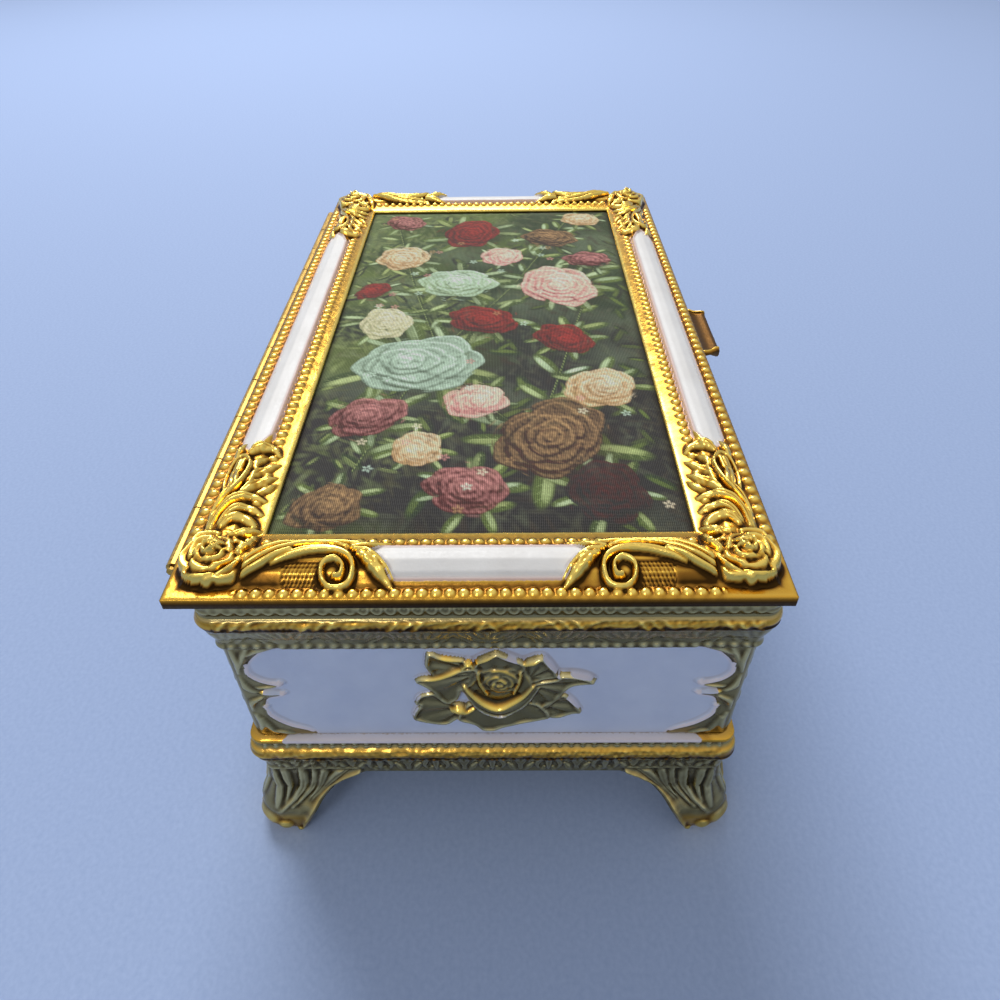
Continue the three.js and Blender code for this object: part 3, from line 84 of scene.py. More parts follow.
# %%
def make_mesh(name, points, faces, values=None, colours=None, smooth=True):
    """An object from points in millimetres and faces of four corners."""
    mesh = bpy.data.meshes.new(name)
    mesh.vertices.add(len(points))
    mesh.vertices.foreach_set("co", (np.asarray(points) * MM).astype(np.float32).ravel())
    mesh.loops.add(faces.size)
    mesh.loops.foreach_set("vertex_index", faces.astype(np.int32).ravel())
    mesh.polygons.add(len(faces))
    mesh.polygons.foreach_set("loop_start", np.arange(len(faces), dtype=np.int32) * faces.shape[1])
    mesh.polygons.foreach_set("use_smooth", np.full(len(faces), smooth))
    mesh.update(calc_edges=True)
    for key, value in (values or {}).items():
        layer = mesh.attributes.new(key, "FLOAT", "POINT")
        layer.data.foreach_set("value", np.asarray(value, np.float32).ravel())
    for key, value in (colours or {}).items():
        layer = mesh.attributes.new(key, "FLOAT_COLOR", "POINT")
        full = np.ones((len(points), 4), np.float32)
        full[:, :3] = value
        layer.data.foreach_set("color", full.ravel())
    piece = bpy.data.objects.new(name, mesh)
    bpy.context.scene.collection.objects.link(piece)
    return piece


def grid_faces(rows, columns, wrap_rows, wrap_columns):
    """Four-cornered faces over a grid of points, closed round where it wraps."""
    index = np.arange(rows * columns).reshape(rows, columns)
    across = np.roll(index, -1, 1)
    up = np.roll(index, -1, 0)
    both = np.roll(across, -1, 0)
    faces = np.stack([index, across, both, up], -1)
    if not wrap_rows:
        faces = faces[:-1]
    if not wrap_columns:
        faces = faces[:, :-1]
    return faces.reshape(-1, 4)


def smooth_line(points, steps=6, closed=False):
    """A smooth curve through the points. Any further columns, such as width, are smoothed too."""
    p = np.asarray(points, float)
    if closed:
        ends = np.vstack([p[-1], p, p[0], p[1]])
    else:
        ends = np.vstack([2 * p[0] - p[1], p, 2 * p[-1] - p[-2]])
    t = np.linspace(0, 1, steps, endpoint=False)[:, None]
    out = []
    for i in range(len(ends) - 3):
        a, b, c, d = ends[i:i + 4]
        out.append(0.5 * (2 * b + (c - a) * t + (2 * a - 5 * b + 4 * c - d) * t**2
                          + (3 * b - a - 3 * c + d) * t**3))
    out.append(ends[-2:-1] if closed else p[-1:])
    return np.vstack(out)


def nearest(x, y, line):
    """For each point: its distance from the line, how far along that is, and on which side."""
    best = np.full(x.shape, 1e9)
    along = np.zeros(x.shape)
    side = np.ones(x.shape)
    step = np.diff(line, axis=0)
    length = np.maximum(np.hypot(step[:, 0], step[:, 1]), 1e-6)
    start = np.concatenate([[0], np.cumsum(length)])
    for i, (dx, dy) in enumerate(step):
        ax, ay = line[i]
        t = np.clip(((x - ax) * dx + (y - ay) * dy) / length[i]**2, 0, 1)
        ex, ey = x - ax - t * dx, y - ay - t * dy
        distance = np.hypot(ex, ey)
        closer = distance < best
        best = np.where(closer, distance, best)
        along = np.where(closer, start[i] + t * length[i], along)
        side = np.where(closer, np.where(dx * ey - dy * ex < 0, -1.0, 1.0), side)
    return best, along, side, start


def inside(x, y, line):
    """Which points lie within a closed line."""
    odd = np.zeros(x.shape, bool)
    for (ax, ay), (bx, by) in zip(line, np.roll(line, -1, 0)):
        if ay != by:
            odd ^= ((ay > y) != (by > y)) & (x < (bx - ax) * (y - ay) / (by - ay) + ax)
    return odd


def ease(value, low=0.0, high=1.0):
    t = np.clip((value - low) / (high - low), 0, 1)
    return t * t * (3 - 2 * t)


def unevenness(x, y, scale, seed):
    """Soft random hills between -1 and 1, the same on every run."""
    rng = np.random.default_rng(seed)
    total = np.zeros(np.shape(x))
    for _ in range(10):
        angle = rng.uniform(0, 2 * math.pi)
        wave = rng.uniform(0.6, 1.7) / scale
        phase = rng.uniform(0, 2 * math.pi)
        total += np.sin(2 * math.pi * wave * (x * math.cos(angle) + y * math.sin(angle)) + phase)
    return total / 5.5


# %% [markdown]
# ## The relief
#
# A carver builds such an ornament from few strokes: a gouge run that swells and thins, a leaf with its
# rib, a petal with a turned lip, a bead. Each is a small function that raises the surface to at least
# its own height, so what is drawn later or higher lies on top, as in the casting.

# %%
class Relief:
    def __init__(self, x, y):
        self.x, self.y = x, y
        self.height = np.zeros(x.shape)
        self.gilt = np.zeros(x.shape)
        self.finish = np.zeros(x.shape)

    def near(self, line, reach):
        low, high = line[:, :2].min(0) - reach, line[:, :2].max(0) + reach
        return np.nonzero((self.x > low[0]) & (self.x < high[0])
                          & (self.y > low[1]) & (self.y < high[1]))

    def lift(self, where, height, finish=0.0):
        on_top = height > self.height[where] + 0.02
        self.finish[where] = np.where(on_top, finish * ease(height, 0.1, 0.3), self.finish[where])
        self.height[where] = np.maximum(self.height[where], height)
        self.gilt[where] = np.maximum(self.gilt[where], ease(height, 0.05, 0.25))

    def stroke(self, points, ribs=0, depth=0.3, power=0.5, twist=0.0, lobes=0, rib=0.0, veins=0, finish=0.0):
        """A raised stroke. Each point is x, y, half width and height. finish: 1 painted white, -1 bright gilt, for
        wear and a painted highlight.
        """
        line = smooth_line(points)
        where = self.near(line, line[:, 2].max() * 1.05)
        distance, along, side, start = nearest(self.x[where], self.y[where], line[:, :2])
        width = np.interp(along, start, line[:, 2])
        height = np.interp(along, start, line[:, 3])
        if lobes:
            share = along / start[-1]
            width = width * (0.74 + 0.26 * np.abs(np.sin(math.pi * lobes * (share + 0.1))))
        across = distance / np.maximum(width, 1e-3)
        shape = np.clip(1 - across**2, 0, 1)**power
        if ribs:
            turn = math.pi * ribs * (across * side + 1) + twist * along
            shape = shape * (1 - depth * (0.5 + 0.5 * np.cos(turn)))
        if veins:
            slant = 2 * math.pi * (along + across * width * 0.8) / (start[-1] / veins)
            shape = shape * (1 - 0.22 * (0.5 + 0.5 * np.cos(slant)) * ease(across, 0.1, 0.5))
        if rib:
            shape = shape * (1 - rib * np.exp(-(across / 0.16)**2))
        self.lift(where, height * shape, finish)

    def plate(self, outline, height, rim=0.3, width=0.45, lean=(0, 0), veins=None, smooth=3):
        """A flat leaf or petal with a raised rim. lean tips it, as a rise for each millimetre."""
        line = smooth_line(outline, smooth, closed=True)[:, :2]
        where = self.near(line, 0.3)
        x, y = self.x[where], self.y[where]
        distance = nearest(x, y, line)[0]
        within = np.where(inside(x, y, line), distance, -distance)
        middle = line.mean(0)
        top = height + lean[0] * (x - middle[0]) + lean[1] * (y - middle[1])
        if veins:
            root, spread, depth = veins
            fan = np.arctan2(y - root[1], x - root[0])
            top = top - depth * (0.5 + 0.5 * np.cos(fan * spread)) * ease(within, width, 3 * width)
        shape = top * ease(within, -0.2, 0.3) + rim * np.exp(-((within - width) / (0.7 * width))**2)
        self.lift(where, np.where(within > -0.2, shape, 0))

    def petal(self, centre, angle, half, reach, edge, inner, lip=0.4, tilt=0.6):
        """A rose petal: a dished sector with a turned lip, one end tucked under the next."""
        line = np.array([centre]) + 0.0
        where = self.near(line, reach * 1.1)
        x, y = self.x[where] - centre[0], self.y[where] - centre[1]
        radius = np.hypot(x, y)
        turn = (np.arctan2(y, x) - math.radians(angle) + math.pi) % (2 * math.pi) - math.pi
        t = turn / math.radians(half)
        outer = reach * (1 - 0.16 * np.abs(t)**2.5) * (1 + 0.035 * np.sin(5 * turn + angle))
        outer = outer * (1 + 0.05 * np.exp(-(t / 0.22)**2))
        share = radius / outer
        top = inner + (edge - inner) * np.clip(share, 0, 1)**1.6
        roll = 0.28 + 0.035 * reach
        top = top + lip * np.exp(-((1 - share) * outer / roll)**2) - tilt * (t + 1) / 2
        shape = top * ease(1 - share, 0, 0.8 / reach) * ease(1 - np.abs(t), 0, 0.14)
        self.lift(where, shape)

    def bead(self, along, across, pitch, radius, height, where=None):
        """A row of round beads. along and across are the places of the points in the row."""
        step = (along / pitch + 0.5) % 1 - 0.5
        distance = np.hypot(step * pitch, across) / radius
        shape = height * np.clip(1 - distance**2, 0, 1)**0.5
        if where is not None:
            shape = shape * where
        self.height = np.maximum(self.height, shape)
        self.gilt = np.maximum(self.gilt, ease(shape, 0.02, 0.2))


def soften(height, passes=1):
    """Rounds the relief a little, as plating and polishing do."""
    soft = height.copy()
    for _ in range(passes):
        soft = (soft + np.roll(soft, 1, 0) + np.roll(soft, -1, 0)
                + np.roll(soft, 1, 1) + np.roll(soft, -1, 1)) / 5
    return soft


def hollows(height, passes=12):
    """Above 0 in hollows, below 0 on crests: where patina and wear go, and on the castings painted shade too."""
    return np.clip((soften(height, passes) - height) / 0.35, -1, 1)


# %% [markdown]
# ## Colours and materials
#
# A gilt casting isn't one yellow: it is bright where fingers rub it, browner in the hollows, where patina and
# painted shade lie, and a little uneven all over. On the walls the gold is painted dull and olive and the white
# bluish grey, as painted shade and a painted reflection of the blue floor, except on the rolls and curls that
# stand out, which keep bright gilt from wear and painted highlights. The enamel is sprayed, so it ends in a
# soft pinkish edge over the gold.

# %%
def colour(code):
    """A colour as it is written on a screen, turned into the linear light that the renderer uses."""
    parts = [int(code[i:i + 2], 16) / 255 for i in (1, 3, 5)]
    return [c / 12.92 if c <= 0.04045 else ((c + 0.055) / 1.055)**2.4 for c in parts] + [1.0]


def node(tree, kind, settings=None, **inputs):
    """Adds a node. Inputs are given by name; a value that is a socket is linked."""
    made = tree.nodes.new("ShaderNode" + kind)
    for key, value in (settings or {}).items():
        setattr(made, key, value)
    for key, value in inputs.items():
        name = key.replace("_", " ")
        socket = made.inputs[int(key[1:])] if key[0] == "i" and key[1:].isdigit() else made.inputs[name]
        if isinstance(value, bpy.types.NodeSocket):
            tree.links.new(value, socket)
        else:
            socket.default_value = value
    return made


def new_material(name):
    material = bpy.data.materials.new(name)
    material.use_nodes = True
    tree = material.node_tree
    tree.nodes.clear()
    shader = tree.nodes.new("ShaderNodeBsdfPrincipled")
    output = tree.nodes.new("ShaderNodeOutputMaterial")
    tree.links.new(shader.outputs[0], output.inputs[0])
    return material, tree, shader


def ramp(tree, value, stops):
    """Colours along a value: stops are (place, colour code)."""
    made = node(tree, "ValToRGB", i0=value)
    points = made.color_ramp.elements
    while len(points) < len(stops):
        points.new(0.5)
    for point, (place, code) in zip(points, stops):
        point.position = place
        point.color = colour(code)
    return made.outputs[0]


def blend_colour(tree, share, first, second, kind="MIX"):
    made = tree.nodes.new("ShaderNodeMix")
    made.data_type = "RGBA"
    made.blend_type = kind
    for socket, value in ((made.inputs[0], share), (made.inputs[6], first), (made.inputs[7], second)):
        if isinstance(value, bpy.types.NodeSocket):
            tree.links.new(value, socket)
        else:
            socket.default_value = value
    return made.outputs[2]


def scale_value(tree, value, from_low, from_high, to_low, to_high):
    return node(tree, "MapRange", i0=value, i1=from_low, i2=from_high, i3=to_low, i4=to_high).outputs[0]


def place_noise(tree, millimetres, detail=3.0, rough=0.55):
    """Noise whose marks are about so many millimetres across, in the space of the object."""
    where = node(tree, "TexCoord").outputs["Object"]
    return node(tree, "TexNoise", Vector=where, Scale=1000 / millimetres, Detail=detail,
                Roughness=rough).outputs["Fac"]


def cast_gilt(name, enamel=None, painted_shade=False):
    """Plated zinc: yellow on the crests, brown in the hollows from patina and painted shade. enamel is two codes of
    the sprayed white.
    """
    material, tree, shader = new_material(name)
    cloudy = place_noise(tree, 9)
    grain = place_noise(tree, 0.9)
    patina_and_shade = node(tree, "Attribute", {"attribute_name": "patina_and_shade"}).outputs["Fac"]
    deep = scale_value(tree, patina_and_shade, -0.4, 0.7, 0, 1)
    # from crest to hollow: bright gold to dark brown, which is patina together with painted shade
    patina_and_shade_tone = ramp(tree, deep, [(0.0, "#F8D870"), (0.35, "#DCAC44"), (0.7, "#936728"), (1.0, "#3B2810")])
    tone = ramp(tree, cloudy, [(0.3, "#DDB052"), (0.7, "#FFE79C")])
    gold = blend_colour(tree, 0.35, patina_and_shade_tone, tone, "MULTIPLY")
    gold = blend_colour(tree, 0.45, gold, patina_and_shade_tone)
    if painted_shade:
        # on the walls the gold is painted dull and olive: painted shade and a painted reflection of the blue floor
        # below
        shaded_gold = ramp(tree, deep, [(0.0, "#CFC08A"), (0.35, "#A39260"), (0.7, "#5F4E2E"), (1.0, "#221A0E")])
        shaded_gold = blend_colour(tree, scale_value(tree, cloudy, 0.3, 0.7, 0, 0.3), shaded_gold, colour("#8C8468"))
        # where the walls keep bright gilt: wear, with painted highlights on crests and rolls
        wear_and_highlight = node(tree, "Attribute", {"attribute_name": "wear_and_highlight"}).outputs["Fac"]
        gold = blend_colour(tree, wear_and_highlight, shaded_gold, gold)
    rough = scale_value(tree, grain, 0.3, 0.75, 0.13, 0.28)
    rough = node(tree, "Math", {"operation": "ADD"}, i0=rough,
                 i1=scale_value(tree, deep, 0.4, 1, 0, 0.25)).outputs[0]
    bumps = node(tree, "Bump", Strength=0.5, Distance=0.00014, Height=place_noise(tree, 1.9))
    fine = node(tree, "Bump", Strength=0.2, Distance=0.00004, Height=grain, Normal=bumps.outputs[0])
    shader.inputs["Metallic"].default_value = 1.0
    tree.links.new(fine.outputs[0], shader.inputs["Normal"])
    if not enamel:
        tree.links.new(gold, shader.inputs["Base Color"])
        tree.links.new(rough, shader.inputs["Roughness"])
        return material
    paint = node(tree, "Attribute", {"attribute_name": "enamel"}).outputs["Fac"]
    blush = node(tree, "Attribute", {"attribute_name": "blush"}).outputs["Fac"]
    ragged = node(tree, "Math", {"operation": "ADD"}, i0=paint,
                  i1=scale_value(tree, place_noise(tree, 0.7), 0, 1, -0.22, 0.22)).outputs[0]
    cover = scale_value(tree, ragged, 0.36, 0.6, 0, 1)
    chips = scale_value(tree, place_noise(tree, 2.4, 4.0, 0.7), 0.735, 0.75, 0, 1)
    cover = node(tree, "Math", {"operation": "SUBTRACT", "use_clamp": True}, i0=cover, i1=chips).outputs[0]
    # on the walls the pinkish edge colour is paler than the field's shaded white, so the painted leaf rims carry a
    # painted highlight
    white = blend_colour(tree, blush, ramp(tree, cloudy, [(0.3, enamel[0]), (0.7, enamel[1])]),
                         colour("#E6DADC" if painted_shade else "#D9B9AE"))
    # the white turns greyer brown in the hollows and round the leaves: painted shade
    white = blend_colour(tree, scale_value(tree, deep, 0.5, 1, 0, 0.5), white, colour("#9A8680"))
    tree.links.new(blend_colour(tree, cover, gold, white), shader.inputs["Base Color"])
    metal = node(tree, "Math", {"operation": "SUBTRACT"}, i0=1.0, i1=cover).outputs[0]
    tree.links.new(metal, shader.inputs["Metallic"])
    smooth_paint = scale_value(tree, grain, 0.3, 0.7, 0.36, 0.5)
    mixed = node(tree, "Mix", i0=cover, i2=rough, i3=smooth_paint).outputs[0]
    tree.links.new(mixed, shader.inputs["Roughness"])
    return material


gilt_enamel = cast_gilt("gilt_zinc_with_sprayed_enamel", ("#EAE7E3", "#F4F2EF"))
# the walls' white is painted darker and bluish grey: painted shade and a painted reflection of the blue floor
gilt_with_painted_shade = cast_gilt("gilt_zinc_enamel_with_painted_shade", ("#C3CCE0", "#CDD5E6"), painted_shade=True)
gilt_plain = cast_gilt("gilt_zinc_casting")

# %% [markdown]
# ## The lid frame
#
# In reality one zinc casting, gilt all over, with four panels sprayed white. The grid of points runs
# round the frame like the rings of a picture moulding, so it closes on itself under the rim. Heights
# are worked out for one corner and every point looks up its own mirrored place there: p is the
# distance from the long edge, q the distance from the short edge.

# %%
def lid_moulding(inset):
    """Height of the plain moulding over the rim top, at a distance from the edge."""
    inset_at = [0, 0.5, 2.4, 3.2, 4.65, 6.8, 8.4, 9.8, 10.4, 11.0, 12.4, 13.0, 14.6, 15.2]
    up_at = [0, 0.12, 0.15, 0.6, 2.15, 3.1, 3.2, 3.0, 2.5, 2.2, 2.1, 1.9, 1.5, 1.25]
    return np.interp(inset, inset_at, up_at)


# One corner, each line as points of p, q, half width and height
corner_strokes = [
    # the stem, which goes on as the rim of the bud, and the flutes beside it
    (dict(), [(4.2, 15.6, 0.45, 1.0), (4.5, 19.4, 0.5, 1.6), (5.8, 23.0, 0.5, 1.7), (7.5, 26.2, 0.5, 1.7),
              (8.5, 29.8, 0.5, 1.7), (8.4, 33.0, 0.5, 1.6), (7.2, 35.2, 0.5, 1.5), (5.5, 35.5, 0.5, 1.5),
              (4.2, 33.6, 0.5, 1.5), (3.6, 30.0, 0.45, 1.4), (3.9, 27.6, 0.3, 1.1)]),
    (dict(), [(3.6, 16.6, 0.35, 0.8), (3.7, 20.5, 0.4, 1.3), (4.8, 24.0, 0.4, 1.4), (5.9, 26.4, 0.3, 1.0)]),
    (dict(ribs=2, depth=0.45), [(5.0, 15.8, 0.6, 1.0), (5.5, 18.8, 0.8, 1.6), (7.0, 21.5, 0.95, 1.8),
                                (9.0, 23.0, 1.0, 1.8), (11.4, 23.7, 0.85, 1.6), (13.2, 23.3, 0.3, 1.0)]),
    (dict(ribs=2, depth=0.45), [(6.8, 16.0, 0.6, 1.0), (8.0, 18.5, 0.85, 1.6), (9.7, 20.1, 0.95, 1.7),
                                (11.8, 20.4, 0.8, 1.5), (13.4, 19.5, 0.3, 1.0)]),
    (dict(ribs=3, depth=0.4), [(7.4, 15.2, 0.6, 1.1), (8.8, 17.0, 0.95, 1.7), (10.8, 17.6, 1.2, 1.9),
                               (12.6, 16.4, 1.0, 1.6), (13.4, 14.6, 0.4, 1.0)]),
    # the swelling in the bud, and the plate over it
    (dict(ribs=2, depth=0.35), [(6.6, 25.0, 0.5, 0.9), (6.4, 27.6, 1.4, 1.9), (5.9, 30.2, 1.3, 1.5)]),
    (dict(power=0.4, ribs=3, depth=0.3), [(5.9, 31.2, 1.2, 1.2), (6.2, 33.8, 1.3, 1.5)]),
    # rounded leaf lobes against the inner bead row, broad and low
    (dict(rib=0.3, veins=4, power=0.6), [(8.6, 24.4, 0.5, 0.8), (10.4, 27.4, 1.25, 1.2), (12.4, 29.6, 1.0, 1.0),
                                         (13.6, 30.4, 0.3, 0.6)]),
    (dict(rib=0.3, veins=4, power=0.6), [(9.0, 27.6, 0.5, 0.8), (10.3, 30.6, 1.2, 1.2), (11.9, 33.0, 1.0, 1.0),
                                         (13.4, 34.4, 0.3, 0.6)]),
    (dict(rib=0.3, veins=3, power=0.6), [(9.0, 31.4, 0.5, 0.8), (9.6, 33.8, 0.9, 1.1), (11.0, 36.0, 0.5, 0.8)]),
    (dict(rib=0.3, veins=3, power=0.6), [(11.4, 25.0, 0.5, 0.8), (12.9, 26.6, 0.8, 1.0), (13.9, 28.4, 0.3, 0.6)]),
    (dict(), [(8.4, 24.2, 0.25, 0.9), (9.6, 27.6, 0.3, 1.2), (9.8, 31.4, 0.3, 1.1), (9.4, 35.0, 0.25, 0.9)]),
    # small leaves in the angle between the rose and the window
    (dict(rib=0.35, veins=4), [(9.8, 12.6, 0.6, 1.3), (11.8, 13.8, 1.1, 1.9), (13.9, 15.0, 0.4, 1.0)]),
    (dict(rib=0.35, veins=4), [(12.4, 8.4, 0.7, 1.3), (13.6, 10.8, 1.1, 1.9), (14.3, 13.2, 0.4, 1.0)]),
    # the ribbon along the short side, and the arm and curl of the scroll
    (dict(), [(14.0, 6.6, 0.5, 1.2), (17.2, 8.4, 0.6, 1.8), (20.6, 9.9, 0.6, 1.9), (24.6, 10.8, 0.5, 1.7),
              (29.5, 11.2, 0.4, 1.4), (33.5, 11.2, 0.3, 1.0)]),
    (dict(), [(14.0, 5.4, 0.5, 1.2), (17.2, 7.0, 0.6, 1.8), (20.4, 8.6, 0.6, 1.9), (24.4, 9.8, 0.55, 1.9),
              (28.6, 10.2, 0.45, 1.7), (31.6, 10.0, 0.3, 1.2)]),
    (dict(), [(13.8, 4.2, 0.45, 1.0), (16.8, 5.5, 0.6, 1.7), (19.6, 7.0, 0.6, 1.9), (22.0, 8.2, 0.5, 1.8)]),
    (dict(ribs=2, depth=0.3), [(18.6, 5.8, 0.4, 1.0), (21.2, 7.0, 0.7, 1.6), (25.0, 8.2, 0.9, 1.9),
                               (28.8, 8.4, 0.85, 2.0), (31.9, 7.2, 0.68, 2.0), (33.2, 4.9, 0.58, 1.9),
                               (32.2, 2.6, 0.55, 1.8), (29.7, 2.1, 0.5, 1.8), (27.7, 3.7, 0.5, 1.8),
                               (28.0, 5.7, 0.5, 1.8), (29.9, 6.5, 0.5, 1.8), (31.3, 5.4, 0.5, 1.8),
                               (31.0, 3.9, 0.45, 1.7), (29.8, 4.0, 0.4, 1.6)]),
    # the leaves that end the scroll
    (dict(rib=0.45, veins=5), [(33.8, 7.6, 0.5, 1.4), (35.8, 6.4, 1.2, 2.1), (38.0, 4.2, 1.0, 1.7),
                               (40.2, 2.0, 0.2, 0.6)]),
    (dict(), [(33.0, 8.4, 0.4, 1.4), (35.6, 8.0, 0.5, 1.7), (38.2, 6.0, 0.4, 1.4), (40.2, 3.6, 0.2, 0.8)]),
    (dict(rib=0.35), [(32.6, 9.2, 0.5, 1.4), (35.2, 9.8, 0.8, 1.6), (39.4, 11.0, 0.2, 0.6)]),
    # ears each side of the long panel's point
    (dict(rib=0.4, veins=4), [(4.3, 35.8, 0.6, 1.1), (4.4, 38.2, 1.2, 1.8), (5.4, 40.6, 0.3, 0.7)]),
    (dict(rib=0.3, veins=5), [(7.4, 36.4, 0.7, 1.2), (9.0, 38.6, 1.6, 1.9), (11.6, 38.9, 1.1, 1.5),
                              (12.9, 37.4, 0.4, 0.9)]),
]
# Petals of the corner rose: angle, half width, reach, height at the edge, height inside, over the rim
corner_petals = [
    (228, 42, 6.2, 2.9, 2.3), (316, 46, 6.6, 3.1, 2.5), (272, 50, 5.9, 3.2, 2.7), (182, 50, 6.3, 3.9, 3.0),
    (76, 44, 6.4, 3.8, 3.0), (20, 48, 6.5, 3.6, 2.9), (128, 46, 6.6, 4.2, 3.2), (262, 58, 4.8, 4.4, 3.5),
    (334, 54, 4.8, 4.5, 3.6), (50, 56, 4.6, 4.8, 3.8), (148, 58, 4.8, 5.0, 3.9), (205, 66, 3.4, 5.3, 4.3),
    (88, 66, 3.3, 5.6, 4.6), (314, 68, 3.3, 5.3, 4.4), (150, 85, 2.1, 6.0, 5.0), (20, 85, 1.9, 6.1, 5.1),
    (268, 80, 2.1, 5.8, 4.9),
]
bud_curl = [(2.1, 0.0), (1.2, 1.6), (-0.9, 1.6), (-1.7, 0.0), (-0.9, -1.3), (0.6, -1.1), (0.9, 0.1), (0.0, 0.5)]


def draw_corner(relief):
    for options, points in corner_strokes:
        relief.stroke(points, **options)


def draw_corner_rose(relief, middle):
    """The rose has heights of its own over the rim, so its petals overhang the lower edge."""
    for angle, half, reach, edge, inner in corner_petals:
        relief.petal(middle, angle, half, reach, edge, inner, lip=0.4 if reach > 4 else 0.28, tilt=0.6)
    relief.stroke([(3.2, 4.4, 0.4, 3.0), (5.0, 3.2, 0.55, 3.5), (7.4, 3.1, 0.55, 3.5), (9.0, 3.8, 0.4, 3.2)])
    relief.stroke([(9.4, 3.5, 0.4, 3.2), (11.4, 4.6, 0.55, 3.8), (13.0, 6.8, 0.45, 3.7)])
    curl = [(middle[0] + 0.75 * x, middle[1] + 0.75 * y, 0.35, 6.3) for x, y in bud_curl]
    relief.stroke(curl, power=0.7)


def lid_grid():
    """Columns run round the lid, rows run from the foot of the rim over the frame and back under it."""
    top = np.concatenate([np.linspace(0.0, 0.5, 3), np.arange(0.7, frame_border, 0.22 * coarse),
                          [frame_border]])
    under = [(frame_border, pocket_roof + 0.1), (frame_border - 0.1, pocket_roof), (pocket_inset + 0.1, pocket_roof),
             (pocket_inset, pocket_roof - 0.1), (pocket_inset, -2.3), (pocket_inset - 0.1, -2.4),
             (5.45, -2.4), (5.35, -2.4), (0.15, -2.4), (0.0, -2.25), (0.0, -1.2)]
    inset = np.concatenate([top, [p for p, _ in under]])
    rise = np.concatenate([np.full(len(top), np.nan), [z for _, z in under]])
    long_side = int(2 * lid_x / (0.22 * coarse))
    short_side = int(2 * lid_y / (0.22 * coarse))
    columns = []
    for side, count in enumerate([long_side, short_side, long_side, short_side]):
        t = np.linspace(-1, 1, count, endpoint=False)
        one = np.ones(count)
        columns.append([(t, -one), (one, t), (-t, one), (-one, -t)][side])
    u = np.concatenate([c[0] for c in columns])
    v = np.concatenate([c[1] for c in columns])
    x = (lid_x - inset)[:, None] * u[None, :]
    y = (lid_y - inset)[:, None] * v[None, :]
    return x, y, inset, rise


